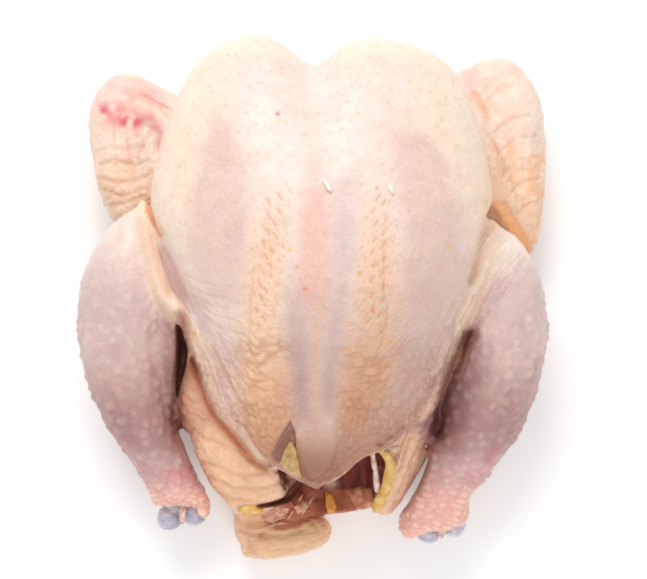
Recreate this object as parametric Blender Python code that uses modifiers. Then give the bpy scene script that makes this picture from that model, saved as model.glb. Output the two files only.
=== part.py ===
"""A whole raw chicken, plucked and drawn, lying on its back with the breast up.

Units are metres, and lengths below are written in millimetres times MM.
+Z is up through the breast, +Y points to the neck end and -Y to the tail.
The origin is on the table, under the middle of the bird.

The bird is one solid: each muscle group is a closed loft through a few rings, a Boolean union
joins them, and a fine remesh with some smoothing draws one skin over all of them. The two shank
bones show where the feet were cut off, so each is a piece of its own that runs up its leg.
"""

import math
from typing import NamedTuple

import bmesh
import bpy
import numpy as np
from mathutils import Matrix, Vector

MM = 0.001

# Driving sizes of the bird
BREAST_HALF_WIDTH = 77
NECK_END_Y = 119.5
KEEL_TIP_Y = -83.5
BREAST_AXIS_Z = 50
BREAST_RISE = 57
BACK_HALF_WIDTH = 51
BACK_AXIS_Z = 27
BACK_DEPTH = 29

# How finely the skin is drawn
SKIN_VOXEL = 2.6 * MM
SKIN_SMOOTHING = 5
SKIN_TRIANGLES = 7600

BONE_GAP = 0.35
"""Clearance in millimetres between a shank bone and the meat round it."""

SKIN_COLOUR = (0.86, 0.62, 0.49, 1.0)
CARTILAGE_COLOUR = (0.60, 0.58, 0.68, 1.0)


class Ring(NamedTuple):
    """One cross-section of a loft, in millimetres: its centre, and how far it reaches each way."""

    x: float
    y: float
    z: float
    wide: float
    up: float
    down: float = None


def clear_scene():
    for thing in list(bpy.data.objects):
        bpy.data.objects.remove(thing)


def material(name, colour, roughness):
    made = bpy.data.materials.new(name)
    made.use_nodes = True
    shader = made.node_tree.nodes["Principled BSDF"]
    shader.inputs["Base Color"].default_value = colour
    shader.inputs["Roughness"].default_value = roughness
    shader.inputs["Metallic"].default_value = 0.0
    made.diffuse_color = colour
    return made


def curve_through(knots, values, where):
    """A cubic curve through the values, whose slope at a knot comes from the knots beside it."""
    slopes = np.gradient(values, knots, axis=0)
    first = np.clip(np.searchsorted(knots, where) - 1, 0, len(knots) - 2)
    span = (knots[first + 1] - knots[first])[:, None]
    part = ((where - knots[first]) / span[:, 0])[:, None]
    rise = part * part * (3 - 2 * part)
    leave = part * (1 - part) ** 2
    arrive = part * part * (part - 1)
    between = values[first] * (1 - rise) + values[first + 1] * rise
    return between + span * (leave * slopes[first] + arrive * slopes[first + 1])


def loft(name, rings, squareness=2.0, grow=0.0, segments=36, steps=30):
    """A closed body through the rings: a sphere whose parallels are moved onto them.

    The first and last ring close to a point. Rings are met at the angle that keeps the ends round.
    squareness is 2 for an oval section and more for a boxier one, and grow moves the surface out.
    """
    table = np.array([r._replace(down=r.up if r.down is None else r.down) for r in rings], float)
    table[1:-1, 3:] += grow
    heading = table[1:, :3] - table[:-1, :3]
    lengths = np.linalg.norm(heading, axis=1)
    table[0, :3] -= heading[0] / lengths[0] * grow
    table[-1, :3] += heading[-1] / lengths[-1] * grow
    along = np.concatenate([[0.0], np.cumsum(lengths)]) / lengths.sum()
    knots = np.arccos(np.clip(1 - 2 * along, -1, 1))

    mesh = bmesh.new()
    bmesh.ops.create_uvsphere(mesh, u_segments=segments, v_segments=steps, radius=1.0)
    ball = np.array([v.co for v in mesh.verts])
    polar = np.arccos(np.clip(ball[:, 2], -1, 1))
    turn = np.arctan2(ball[:, 1], ball[:, 0])

    drawn = curve_through(knots, table, polar)
    centre = drawn[:, :3]
    step = 0.02
    ahead = curve_through(knots, table, np.minimum(polar + step, math.pi))[:, :3]
    behind = curve_through(knots, table, np.maximum(polar - step, 0.0))[:, :3]
    tangent = ahead - behind
    tangent /= np.linalg.norm(tangent, axis=1)[:, None]
    side = np.cross(tangent, (0.0, 0.0, 1.0))
    side /= np.linalg.norm(side, axis=1)[:, None]
    top = np.cross(side, tangent)

    across, above = np.cos(turn), np.sin(turn)
    power = 2.0 / squareness
    across = np.sign(across) * np.abs(across) ** power
    above = np.sign(above) * np.abs(above) ** power
    reach = np.where(above > 0, drawn[:, 4], drawn[:, 5])
    points = centre + side * (across * drawn[:, 3])[:, None] + top * (above * reach)[:, None]
    for vertex, point in zip(mesh.verts, points):
        vertex.co = Vector(point) * MM
    bmesh.ops.recalc_face_normals(mesh, faces=mesh.faces)

    data = bpy.data.meshes.new(name)
    mesh.to_mesh(data)
    mesh.free()
    made = bpy.data.objects.new(name, data)
    bpy.context.scene.collection.objects.link(made)
    return made


def breast():
    """Two plump lobes over the keel, from the neck end to the keel's tip.

    The left side draws in sooner past the wing, so the middle wanders to the right there.
    """
    half, axis, rise = BREAST_HALF_WIDTH, BREAST_AXIS_Z, BREAST_RISE
    made = loft(
        "breast",
        [
            Ring(4.4, NECK_END_Y, axis + 10, 0, 0),
            Ring(4.4, 108, axis + 8, half * 0.67, rise * 0.42, rise * 0.45),
            Ring(4.2, 90, axis + 5, half * 0.84, rise * 0.70, rise * 0.66),
            Ring(3.8, 62, axis + 2, half * 0.955, rise * 0.90, rise * 0.82),
            Ring(3.6, 42, axis + 1, half * 0.985, rise * 0.99, rise * 0.84),
            Ring(5.0, 22, axis + 1, half * 0.89, rise * 1.01, rise * 0.82),
            Ring(5.6, 0, axis, half * 0.79, rise * 0.97, rise * 0.78),
            Ring(5.2, -28, axis + 3, half * 0.68, rise * 0.83, rise * 0.60),
            Ring(2.6, -49, axis + 9, half * 0.54, rise * 0.61, rise * 0.36),
            Ring(0.5, -65, axis + 15, half * 0.36, rise * 0.38, rise * 0.18),
            Ring(1.5, -76, axis + 18, half * 0.20, rise * 0.20, rise * 0.10),
            Ring(2.5, KEEL_TIP_Y, axis + 18, 0, 0),
        ],
        squareness=2.25,
    )
    press_breast_cleft(made)
    return made


def press_breast_cleft(made):
    """Draws the skin in between the two lobes, deepest at the neck end, where the left one stands out."""
    middle_x, reach = 0.5 * MM, 13 * MM
    lobe_x, lobe_reach = -30 * MM, 18 * MM
    fade_from, fade_over = 45 * MM, 60 * MM
    for vertex in made.data.vertices:
        x, y, z = vertex.co
        beside = math.exp(-(((x - middle_x) / reach) ** 2))
        on_lobe = math.exp(-(((x - lobe_x) / lobe_reach) ** 2))
        share = min(1.0, max(0.0, (y - fade_from) / fade_over))
        if z > BREAST_AXIS_Z * MM:
            vertex.co.z -= 5 * MM * beside * share
        vertex.co.y += (3 * on_lobe - 14 * beside) * MM * share**3


def back():
    """The ribs, back and hips that the bird lies on."""
    half, depth, axis = BACK_HALF_WIDTH, BACK_DEPTH, BACK_AXIS_Z
    return loft(
        "back",
        [
            Ring(0, 104, axis, 0, 0),
            Ring(0, 92, axis, half * 0.83, depth * 0.96, depth * 0.90),
            Ring(0, 60, axis, half, depth * 1.1, depth),
            Ring(0, 10, axis, half * 0.98, depth * 1.1, depth),
            Ring(0, -40, axis, half * 0.91, depth, depth),
            Ring(0, -75, axis - 4, half * 0.80, depth * 0.74, depth * 0.82),
            Ring(1, -91, axis - 9, half * 0.68, depth * 0.45, depth * 0.63),
            Ring(1, -100, axis - 12, 0, 0),
        ],
        squareness=2.4,
    )


def thigh(side, knee):
    """The upper leg, from the hip forward to the knee, against the body's side."""
    return loft(
        f"thigh_{'left' if side < 0 else 'right'}",
        [
            Ring(side * 28, -70, 24, 0, 0),
            Ring(side * 43, -48, 27, 20, 20),
            Ring(side * 59, -12, 30, 24, 22),
            Ring(side * 70, 18, 35, 21, 20),
            Ring(knee[0], knee[1], knee[2], 0, 0),
        ],
    )


def drumstick_left():
    return loft(
        "drumstick_left",
        [
            Ring(-80, 42, 46, 0, 0),
            Ring(-81, 29, 44, 12.5, 14),
            Ring(-83.5, 9, 38, 21, 23),
            Ring(-84.4, -9, 33, 23, 24),
            Ring(-84.4, -27, 31, 20.8, 22.5),
            Ring(-81.2, -46, 29, 17.4, 19),
            Ring(-72.2, -69, 26, 13.2, 14),
            Ring(-66.2, -82, 25, 11.0, 12),
            Ring(-62.3, -93, 23.5, 12.4, 12),
            Ring(-61.5, -98.5, 23, 0, 0),
        ],
    )


def drumstick_right():
    return loft(
        "drumstick_right",
        [
            Ring(84, 36, 46, 0, 0),
            Ring(86, 26, 44, 12, 13),
            Ring(86, 9, 38, 17.5, 22),
            Ring(85, -9, 34, 21.6, 24),
            Ring(82, -27, 32, 23, 24),
            Ring(78.6, -46, 29, 21, 22),
            Ring(69.4, -69, 26, 16.4, 16),
            Ring(61, -84, 24, 12.8, 13),
            Ring(57.5, -97, 23, 12.8, 12.5),
            Ring(57, -103, 22.5, 0, 0),
        ],
    )


def ankle_skin_left():
    """The tongue of skin that stayed on beyond the left knuckles."""
    return loft(
        "ankle_skin_left",
        [
            Ring(-57, -80, 25, 0, 0),
            Ring(-54, -90, 25, 6, 9),
            Ring(-50.6, -98, 25, 3.8, 9),
            Ring(-49, -103, 25, 0, 0),
        ],
    )


def ankle_skin_right():
    """The same on the right leg, where it covers the inner knuckle as well."""
    return loft(
        "ankle_skin_right",
        [
            Ring(52, -84, 24, 0, 0),
            Ring(49, -97, 24, 7.5, 11),
            Ring(44.6, -106, 24, 6, 10),
            Ring(43, -111.5, 24, 0, 0),
        ],
    )


def flank_fold_left():
    """Loose skin drawn up between the left knee and the belly, with a rolled top edge."""
    return loft(
        "flank_fold_left",
        [
            Ring(-77, 45, 46, 0, 0),
            Ring(-74, 29, 47, 6, 12, 18),
            Ring(-71, 14, 48, 6, 12, 20),
            Ring(-66, 2, 49, 6, 12, 20),
            Ring(-59, -6, 50, 6, 11, 20),
            Ring(-51.5, -17, 51, 5.5, 11, 19),
            Ring(-46.5, -30, 51, 5.5, 10, 18),
            Ring(-40.5, -46, 50, 5, 9, 18),
            Ring(-33, -60, 49, 0, 0),
        ],
    )


def flank_fold_right():
    """The same skin on the right, which lies closer to the breast."""
    return loft(
        "flank_fold_right",
        [
            Ring(83, 38, 45, 0, 0),
            Ring(80, 28, 47, 6, 11, 18),
            Ring(75, 14, 48, 6, 12, 20),
            Ring(69, 2, 49, 6, 12, 20),
            Ring(63, -10, 50, 6, 11, 20),
            Ring(59.5, -23, 50, 5.5, 10, 19),
            Ring(54.5, -38, 49, 5, 9, 18),
            Ring(48, -55, 46, 0, 0),
        ],
    )


def belly_flap_left():
    """The thick roll of loose belly skin left of the vent, cut off short over the tail."""
    return loft(
        "belly_flap_left",
        [
            Ring(-46, -6, 26, 0, 0),
            Ring(-46.5, -28, 26, 10.5, 17),
            Ring(-44.5, -51, 25, 14.0, 19),
            Ring(-36, -72, 24, 19.0, 18),
            Ring(-23, -87, 21, 21, 15),
            Ring(-12, -97, 18, 0, 0),
        ],
        squareness=2.3,
    )


def belly_flap_right():
    """The thinner wall of belly skin right of the vent."""
    return loft(
        "belly_flap_right",
        [
            Ring(48, -8, 26, 0, 0),
            Ring(46, -32, 26, 8, 18),
            Ring(44.5, -54, 25, 8.5, 19),
            Ring(40, -76, 22, 8, 17),
            Ring(34, -91, 17, 6.5, 13),
            Ring(29, -101, 13, 0, 0),
        ],
    )


def tail():
    """The fatty tail stub, turned to the left, with a bulb at its right end."""
    return loft(
        "tail",
        [
            Ring(-38.5, -101, 11, 0, 0),
            Ring(-32, -106.5, 11, 8.5, 9),
            Ring(-23, -110, 12, 11.2, 10),
            Ring(-10, -108.5, 12.5, 10.6, 10),
            Ring(0, -108, 13, 9.0, 11),
            Ring(8.6, -106, 13, 0, 0),
        ],
        squareness=2.5,
    )


def tail_root():
    """The flesh that joins the tail stub to the hips."""
    return loft(
        "tail_root",
        [
            Ring(-10, -66, 12, 0, 0),
            Ring(-12, -80, 12, 22, 12),
            Ring(-14, -97, 12, 20, 11),
            Ring(-14, -112, 11, 0, 0),
        ],
    )


def wing(side, shoulder, elbow, wrist, hand_end):
    """A wing with its tip tucked behind the back: upper arm, forearm, hand and the skin between."""
    word = "left" if side < 0 else "right"
    (sx, sy, sz), (ex, ey, ez) = shoulder, elbow
    (wx, wy, wz), (hx, hy, hz) = wrist, hand_end
    upper = loft(
        f"upper_arm_{word}",
        [
            Ring(sx, sy, sz, 0, 0),
            Ring(sx * 0.8 + ex * 0.2, sy * 0.8 + ey * 0.2, sz * 0.8 + ez * 0.2, 15, 15),
            Ring(sx * 0.45 + ex * 0.55, sy * 0.45 + ey * 0.55, sz * 0.45 + ez * 0.55, 13, 14),
            Ring(sx * 0.12 + ex * 0.88, sy * 0.12 + ey * 0.88, sz * 0.12 + ez * 0.88, 7, 9),
            Ring(ex, ey - 4, ez, 0, 0),
        ],
    )
    fore = loft(
        f"forearm_{word}",
        [
            Ring(ex, ey - 5, ez, 0, 0),
            Ring(ex * 0.90 + wx * 0.10, ey * 0.90 + wy * 0.10, ez, 6.5, 9),
            Ring((ex + wx) / 2, (ey + wy) / 2, (ez + wz) / 2 + 1, 11.5, 12),
            Ring(ex * 0.15 + wx * 0.85, ey * 0.15 + wy * 0.85, wz, 12, 11),
            Ring(wx, wy + 9, wz, 0, 0),
        ],
    )
    web = loft(
        f"wing_web_{word}",
        [
            Ring(wx - side * 16, wy + 3, wz, 0, 0),
            Ring(wx - side * 18, wy - 10, wz, 21, 9),
            Ring((wx + ex) / 2 - side * 16, (wy + ey) / 2, wz, 21, 9),
            Ring(ex - side * 9, ey + 12, ez + 2, 10, 7),
            Ring(ex - side * 5, ey, ez, 0, 0),
        ],
    )
    hand = loft(
        f"wing_hand_{word}",
        [
            Ring(wx + side * 6, wy - 2, wz, 0, 0),
            Ring(wx - side * 4, wy, wz - 1, 10, 8),
            Ring(wx * 0.6 + hx * 0.4, wy * 0.6 + hy * 0.4 + 2, wz * 0.6 + hz * 0.4, 8, 8),
            Ring(wx * 0.2 + hx * 0.8, wy * 0.2 + hy * 0.8, wz * 0.2 + hz * 0.8, 7, 6),
            Ring(hx, hy, hz, 0, 0),
        ],
    )
    return [upper, fore, web, hand]


def neck_skin():
    """The flap of neck skin folded under the shoulders."""
    return loft(
        "neck_skin",
        [
            Ring(2, 106, 44, 0, 0),
            Ring(2, 102, 36, 26, 12, 4),
            Ring(1, 97, 20, 30, 9, 6),
            Ring(0, 82, 7, 26, 7),
            Ring(0, 64, 5, 0, 0),
        ],
    )


def body_cavity():
    """The drawn belly: a hollow from the vent under the keel forward between the ribs."""
    return loft(
        "body_cavity",
        [
            Ring(14, -116, 36, 0, 0),
            Ring(13, -98, 34, 17, 14),
            Ring(10, -82, 35, 23, 19),
            Ring(5, -58, 38, 28, 22),
            Ring(1, -20, 40, 31, 22),
            Ring(0, 20, 42, 27, 18),
            Ring(0, 46, 44, 0, 0),
        ],
    )


def shank_bone(name, knee, hock, spread, grow=0.0):
    """The leg bone: a shaft up the drumstick, and two knuckles of cartilage at the cut hock."""
    knee, hock, spread = Vector(knee), Vector(hock), Vector(spread)
    way = (hock - knee).normalized()
    start = knee + way * 26
    neck = hock - way * 15
    shaft = loft(
        f"{name}_shaft",
        [
            Ring(*start, 0, 0),
            Ring(*(start + way * 6), 4.2, 4.2),
            Ring(*start.lerp(neck, 0.6), 3.6, 3.6),
            Ring(*neck, 5.0, 4.6),
            Ring(*(hock - way * 5), 7.5, 6.0),
            Ring(*(hock + way * 1), 0, 0),
        ],
        grow=grow,
        segments=12,
        steps=14,
    )
    knuckles = []
    for which in (-1, 1):
        middle = hock + spread * which
        knuckles.append(
            loft(
                f"{name}_knuckle",
                [
                    Ring(*(middle - way * 7), 0, 0),
                    Ring(*(middle - way * 3), 5.0, 6.4),
                    Ring(*(middle + way * 1), 5.8, 7.2),
                    Ring(*(middle + way * 4.5), 4.2, 5.2),
                    Ring(*(middle + way * 6), 0, 0),
                ],
                grow=grow,
                segments=16,
                steps=10,
            )
        )
    return fuse(name, [shaft, *knuckles])


def evaluated_copy(name, source):
    """A plain mesh object of what the source shows with its modifiers. The source is removed."""
    graph = bpy.context.evaluated_depsgraph_get()
    data = bpy.data.meshes.new_from_object(source.evaluated_get(graph))
    made = bpy.data.objects.new(name, data)
    made.matrix_world = source.matrix_world
    bpy.data.objects.remove(source)
    made.name = name
    bpy.context.scene.collection.objects.link(made)
    return made


def fuse(name, pieces):
    """Joins closed bodies that overlap into one, and removes them."""
    joining = bpy.data.collections.new(f"{name}_joining")
    first, others = pieces[0], pieces[1:]
    for piece in others:
        joining.objects.link(piece)
    union = first.modifiers.new("Fuse", "BOOLEAN")
    union.operation = "UNION"
    union.operand_type = "COLLECTION"
    union.collection = joining
    made = evaluated_copy(name, first)
    for piece in others:
        bpy.data.objects.remove(piece)
    bpy.data.collections.remove(joining)
    return made


def cut(target, cutter, cutters):
    """Takes the cutter out of the target by a modifier that stays on it."""
    for home in list(cutter.users_collection):
        home.objects.unlink(cutter)
    cutters.objects.link(cutter)
    cutter.hide_render = True
    cutter.display_type = "WIRE"
    difference = target.modifiers.new(f"Cut {cutter.name}", "BOOLEAN")
    difference.operation = "DIFFERENCE"
    difference.object = cutter


def table_block():
    """A block under the table's top, which presses the bird's back flat."""
    side, deep = 400 * MM, 60 * MM
    bpy.ops.mesh.primitive_cube_add(size=1.0, location=(0, 0, -deep / 2))
    made = bpy.context.object
    made.name = "table_block"
    made.scale = (side, side, deep)
    bpy.ops.object.transform_apply(location=False, rotation=False, scale=True)
    return made


def draw_skin(target):
    """One even skin over the joined muscles: remeshed finely, smoothed, then thinned out."""
    remesh = target.modifiers.new("Skin", "REMESH")
    remesh.mode = "VOXEL"
    remesh.voxel_size = SKIN_VOXEL
    remesh.use_smooth_shade = True
    smooth = target.modifiers.new("Soften", "SMOOTH")
    smooth.factor = 0.5
    smooth.iterations = SKIN_SMOOTHING
    skinned = evaluated_copy(target.name, target)
    thin = skinned.modifiers.new("Thin", "DECIMATE")
    thin.ratio = SKIN_TRIANGLES / (2 * len(skinned.data.polygons))
    return evaluated_copy(skinned.name, skinned)


def centre_over_origin(pieces, cutters):
    """Moves everything level, until the middle of the bird's box is over the origin."""
    graph = bpy.context.evaluated_depsgraph_get()
    corners = np.array([corner for piece in pieces for corner in piece.evaluated_get(graph).bound_box])
    middle = (corners.min(axis=0) + corners.max(axis=0)) / 2
    shift = Matrix.Translation((-middle[0], -middle[1], 0))
    for thing in [*pieces, *cutters]:
        thing.data.transform(shift)
    print(f"The bird's middle was at {middle[0] / MM:.2f}, {middle[1] / MM:.2f} mm")


KNEE_LEFT, HOCK_LEFT, SPREAD_LEFT = (-82, 20, 40), (-61.5, -99.8, 22), (5.2, 0.9, 0)
KNEE_RIGHT, HOCK_RIGHT, SPREAD_RIGHT = (85, 15, 40), (58.8, -106, 22), (5.3, 1.6, 0)
LEG_BONES = {
    "shank_bone_left": (KNEE_LEFT, HOCK_LEFT, SPREAD_LEFT),
    "shank_bone_right": (KNEE_RIGHT, HOCK_RIGHT, SPREAD_RIGHT),
}


def main():
    clear_scene()
    cutters = bpy.data.collections.new("cutters")
    bird = bpy.data.collections.new("raw_chicken")
    for collection in (cutters, bird):
        bpy.context.scene.collection.children.link(collection)

    muscles = [
        breast(),
        back(),
        thigh(-1, (-80, 38, 40)),
        thigh(1, (84, 33, 40)),
        drumstick_left(),
        drumstick_right(),
        ankle_skin_left(),
        ankle_skin_right(),
        flank_fold_left(),
        flank_fold_right(),
        belly_flap_left(),
        belly_flap_right(),
        tail(),
        tail_root(),
        neck_skin(),
        *wing(-1, (-50, 84, 38), (-88, 34, 18), (-92.5, 95, 22), (-24, 68, 9)),
        *wing(1, (56, 84, 38), (99, 23, 18), (92, 102, 22), (26, 86, 9)),
    ]
    chicken = fuse("chicken", muscles)
    cut(chicken, body_cavity(), cutters)
    chicken = draw_skin(chicken)
    cut(chicken, table_block(), cutters)

    skin = material("chicken_skin", SKIN_COLOUR, 0.45)
    cartilage = material("cartilage", CARTILAGE_COLOUR, 0.35)
    chicken.data.materials.clear()
    chicken.data.materials.append(skin)
    pieces = [chicken]
    for name, places in LEG_BONES.items():
        cut(chicken, shank_bone(f"{name}_socket", *places, grow=BONE_GAP), cutters)
        bone = shank_bone(name, *places)
        bone.data.materials.append(cartilage)
        pieces.append(bone)

    for piece in pieces:
        for home in list(piece.users_collection):
            home.objects.unlink(piece)
        bird.objects.link(piece)
        piece.data.shade_smooth()
    centre_over_origin(pieces, cutters.objects)


main()
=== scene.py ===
# %% [markdown]
# # A whole raw chicken
# The bird is plucked and drawn, with its head and feet off. It lies on its back on a white
# table, and the camera looks straight down on the breast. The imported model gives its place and
# size, and this file dresses it. Everything is in metres, with +Z up and +Y to the neck end.

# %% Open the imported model
import math

import bmesh
import bpy
import numpy as np
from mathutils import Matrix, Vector
from mathutils.bvhtree import BVHTree
from mathutils.kdtree import KDTree


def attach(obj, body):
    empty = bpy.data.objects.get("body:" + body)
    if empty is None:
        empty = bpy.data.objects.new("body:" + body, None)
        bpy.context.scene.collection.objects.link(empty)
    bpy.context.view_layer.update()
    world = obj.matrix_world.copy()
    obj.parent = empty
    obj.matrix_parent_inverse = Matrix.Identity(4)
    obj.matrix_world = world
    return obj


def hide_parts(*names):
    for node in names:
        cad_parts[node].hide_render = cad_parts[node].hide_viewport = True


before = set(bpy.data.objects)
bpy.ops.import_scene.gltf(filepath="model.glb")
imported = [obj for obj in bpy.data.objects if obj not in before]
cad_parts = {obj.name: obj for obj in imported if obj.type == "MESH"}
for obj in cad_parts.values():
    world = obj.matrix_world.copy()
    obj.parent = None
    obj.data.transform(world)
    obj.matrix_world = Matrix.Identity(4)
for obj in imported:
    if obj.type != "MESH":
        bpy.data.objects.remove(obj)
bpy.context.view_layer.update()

# %% [markdown]
# ## The camera
# It hangs straight above the bird. A long lens keeps the breast, which is nearest, from looking
# too big. The bird was drawn round a point a little off the middle of its box, so HOME says how
# far the drawing has moved. A place in the picture is given in pixels from its top left corner.

# %% Camera
MM = 0.001
HOME = np.array([0.24, 1.79, 0.0])
EYE_HEIGHT = 900.0
AIM_HEIGHT = 45.0
MM_PER_PIXEL = 0.45
PICTURE = (647, 579)
BIRD_PIXEL = (313.5, 300.0)

camera_data = bpy.data.cameras.new("camera")
camera_data.sensor_width = 36.0
camera_data.lens = 36.0 * (EYE_HEIGHT - AIM_HEIGHT) / (PICTURE[0] * MM_PER_PIXEL)
camera_data.shift_x = (PICTURE[0] / 2 - BIRD_PIXEL[0]) / PICTURE[0]
camera_data.shift_y = (BIRD_PIXEL[1] - PICTURE[1] / 2) / PICTURE[0]
camera = bpy.data.objects.new("camera", camera_data)
camera.location = (HOME[0] * MM, HOME[1] * MM, EYE_HEIGHT * MM)
bpy.context.scene.collection.objects.link(camera)
bpy.context.scene.camera = camera
bpy.context.scene.view_settings.view_transform = "Standard"
print("lens", round(camera_data.lens, 1), "mm")


def seen(place):
    """The picture's pixels at which the camera sees these places, in millimetres of the drawing."""
    scale = (EYE_HEIGHT - AIM_HEIGHT) / (EYE_HEIGHT - place[:, 2]) / MM_PER_PIXEL
    return BIRD_PIXEL[0] + place[:, 0] * scale, BIRD_PIXEL[1] - place[:, 1] * scale


# %% [markdown]
# ## Muscles
# A bird's skin is drawn over a few plump muscles. Each one is a loft: a ball whose parallels are
# moved onto a row of rings, so both ends stay round. A ring is x, y, z, half its width, and how
# far it reaches up and down, all in millimetres. Making the muscles first, and the skin from
# them, gives the same soft hollows where two muscles meet that the real bird has.

# %% A loft through rings


def curve_through(knots, values, where):
    """A cubic curve through the values, whose slope at a knot comes from the knots beside it."""
    slopes = np.gradient(values, knots, axis=0)
    first = np.clip(np.searchsorted(knots, where) - 1, 0, len(knots) - 2)
    span = (knots[first + 1] - knots[first])[:, None]
    part = ((where - knots[first]) / span[:, 0])[:, None]
    rise = part * part * (3 - 2 * part)
    leave = part * (1 - part) ** 2
    arrive = part * part * (part - 1)
    between = values[first] * (1 - rise) + values[first + 1] * rise
    return between + span * (leave * slopes[first] + arrive * slopes[first + 1])


def loft(rings, squareness=2.0, segments=56, steps=48):
    """Points in millimetres and faces of a closed body through the rings."""
    table = np.array([ring if len(ring) == 6 else (*ring, ring[-1]) for ring in rings], float)
    heading = table[1:, :3] - table[:-1, :3]
    lengths = np.linalg.norm(heading, axis=1)
    along = np.concatenate([[0.0], np.cumsum(lengths)]) / lengths.sum()
    knots = np.arccos(np.clip(1 - 2 * along, -1, 1))
    mesh = bmesh.new()
    bmesh.ops.create_uvsphere(mesh, u_segments=segments, v_segments=steps, radius=1.0)
    ball = np.array([v.co for v in mesh.verts])
    faces = [[v.index for v in face.verts] for face in mesh.faces]
    mesh.free()
    polar = np.arccos(np.clip(ball[:, 2], -1, 1))
    turn = np.arctan2(ball[:, 1], ball[:, 0])
    drawn = curve_through(knots, table, polar)
    step = 0.02
    ahead = curve_through(knots, table, np.minimum(polar + step, math.pi))[:, :3]
    behind = curve_through(knots, table, np.maximum(polar - step, 0.0))[:, :3]
    tangent = ahead - behind
    tangent /= np.linalg.norm(tangent, axis=1)[:, None]
    side = np.cross(tangent, (0.0, 0.0, 1.0))
    side /= np.linalg.norm(side, axis=1)[:, None]
    top = np.cross(side, tangent)
    power = 2.0 / squareness
    across = np.sign(np.cos(turn)) * np.abs(np.cos(turn)) ** power
    above = np.sign(np.sin(turn)) * np.abs(np.sin(turn)) ** power
    reach = np.where(above > 0, drawn[:, 4], drawn[:, 5])
    points = drawn[:, :3] + side * (across * drawn[:, 3])[:, None] + top * (above * reach)[:, None]
    return points, faces


print("a loft has", len(loft([(0, 0, 0, 0, 0), (0, 5, 0, 4, 4), (0, 10, 0, 0, 0)])[0]), "points")

# %% [markdown]
# ## Breast, back and neck skin
# The breast is a broad dome that narrows to the keel's tip, and the back under it is pressed
# flat by its own weight. Both could be sculpted by hand, but rings at named places are easier
# to check against the photograph and to change later.

# %% Rings of the breast, back and neck skin
BREAST = [
    (4.4, 119.5, 60, 0, 0),
    (4.4, 108, 58, 51.6, 23.9, 25.7),
    (4.2, 90, 55, 64.7, 39.9, 37.6),
    (3.8, 62, 52, 73.5, 51.3, 46.7),
    (3.6, 42, 51, 75.8, 56.4, 47.9),
    (5.0, 22, 51, 68.5, 57.6, 46.7),
    (5.6, 0, 50, 60.8, 55.3, 44.5),
    (5.2, -28, 53, 52.4, 47.3, 34.2),
    (2.6, -49, 59, 41.6, 34.8, 20.5),
    (0.5, -65, 65, 27.7, 21.7, 10.3),
    (0.8, -75, 68, 14.5, 11.2, 5.7),
    (0.8, -79.5, 68, 7.5, 7, 4.5),
    (0.8, -82, 68, 0, 0),
]
KEEL_NUB = [(1, -73, 69, 0, 0), (1, -79, 68.5, 3.8, 2.8), (1, -82, 67.5, 3.0, 2.2), (1, -84, 66.5, 0, 0)]
BACK = [
    (0, 104, 27, 0, 0),
    (0, 92, 27, 42.3, 27.8, 26.1),
    (0, 60, 27, 51, 31.9, 29),
    (0, 10, 27, 50, 31.9, 29),
    (0, -40, 27, 46.4, 29, 29),
    (0, -75, 23, 40.8, 21.5, 23.8),
    (1, -91, 18, 34.7, 13.1, 18.3),
    (1, -100, 15, 0, 0),
]
NECK_SKIN = [
    (2, 106, 44, 0, 0), (2, 102, 36, 26, 12, 4), (1, 97, 20, 30, 9, 6), (0, 82, 7, 26, 7), (0, 64, 5, 0, 0),
]
print(len(BREAST), "rings along the breast", round(BREAST[0][1] - BREAST[-1][1]), "mm long")

# %% [markdown]
# ## Legs
# A leg is a thigh beside the body, a thick drumstick and a thin ankle whose skin has slid down
# over the cut bone. The two legs lie differently, so each has rings of its own.

# %% Rings of the legs
THIGH_LEFT = [
    (-28, -70, 24, 0, 0), (-43, -48, 27, 20, 20), (-59, -12, 30, 24, 22), (-70, 18, 35, 21, 20),
    (-80, 38, 40, 0, 0),
]
THIGH_RIGHT = [
    (28, -70, 24, 0, 0), (43, -48, 27, 20, 20), (59, -12, 30, 24, 22), (68, 15, 35, 20, 20),
    (80, 31, 40, 0, 0),
]
DRUMSTICK_LEFT = [
    (-80, 42, 46, 0, 0),
    (-81, 29, 44, 12.5, 14),
    (-83.5, 9, 38, 21, 23),
    (-84.4, -9, 33, 23, 24),
    (-84.4, -27, 31, 20.8, 22.5),
    (-81.2, -46, 29, 17.4, 19),
    (-72.2, -69, 26, 13.2, 14),
    (-66.2, -82, 25, 11, 12),
    (-62.3, -93, 23.5, 12.4, 12),
    (-61.5, -98.5, 23, 0, 0),
]
DRUMSTICK_RIGHT = [
    (80, 36, 46, 0, 0),
    (80.5, 28, 45, 8.5, 12),
    (84, 18, 42, 13.5, 18),
    (86, 7, 38, 17.8, 22),
    (85, -9, 34, 21.6, 24),
    (82, -27, 32, 23, 24),
    (78.6, -46, 29, 21, 22),
    (69.4, -69, 26, 16.4, 16),
    (61, -84, 24, 12.8, 13),
    (57.5, -97, 23, 12.8, 12.5),
    (57, -103, 22.5, 0, 0),
]
ANKLE_LEFT = [(-58, -80, 25, 0, 0), (-55, -90, 25, 5.5, 9), (-50.8, -97, 25, 4.2, 9), (-49, -102, 25, 0, 0)]
ANKLE_RIGHT = [(52, -84, 24, 0, 0), (49, -97, 24, 7.5, 11), (44.6, -106, 24, 6, 10), (43, -111.5, 24, 0, 0)]
CUFF_RIGHT = [
    (56, -88, 25, 0, 0), (58, -97, 25.5, 11.5, 10), (59.5, -103.5, 25.5, 11, 9), (60, -107, 25, 0, 0),
]
print("knees at", THIGH_LEFT[-1][:2], "and", THIGH_RIGHT[-1][:2], "mm")

# %% [markdown]
# ## Flanks, belly and tail
# Loose skin hangs between breast and knee. Below the breast the belly was slit to draw the
# bird, which leaves a thick roll of skin at the left, a thinner flap at the right and the tail's
# stub between them. They are muscles like the others here, only flatter.

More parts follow.
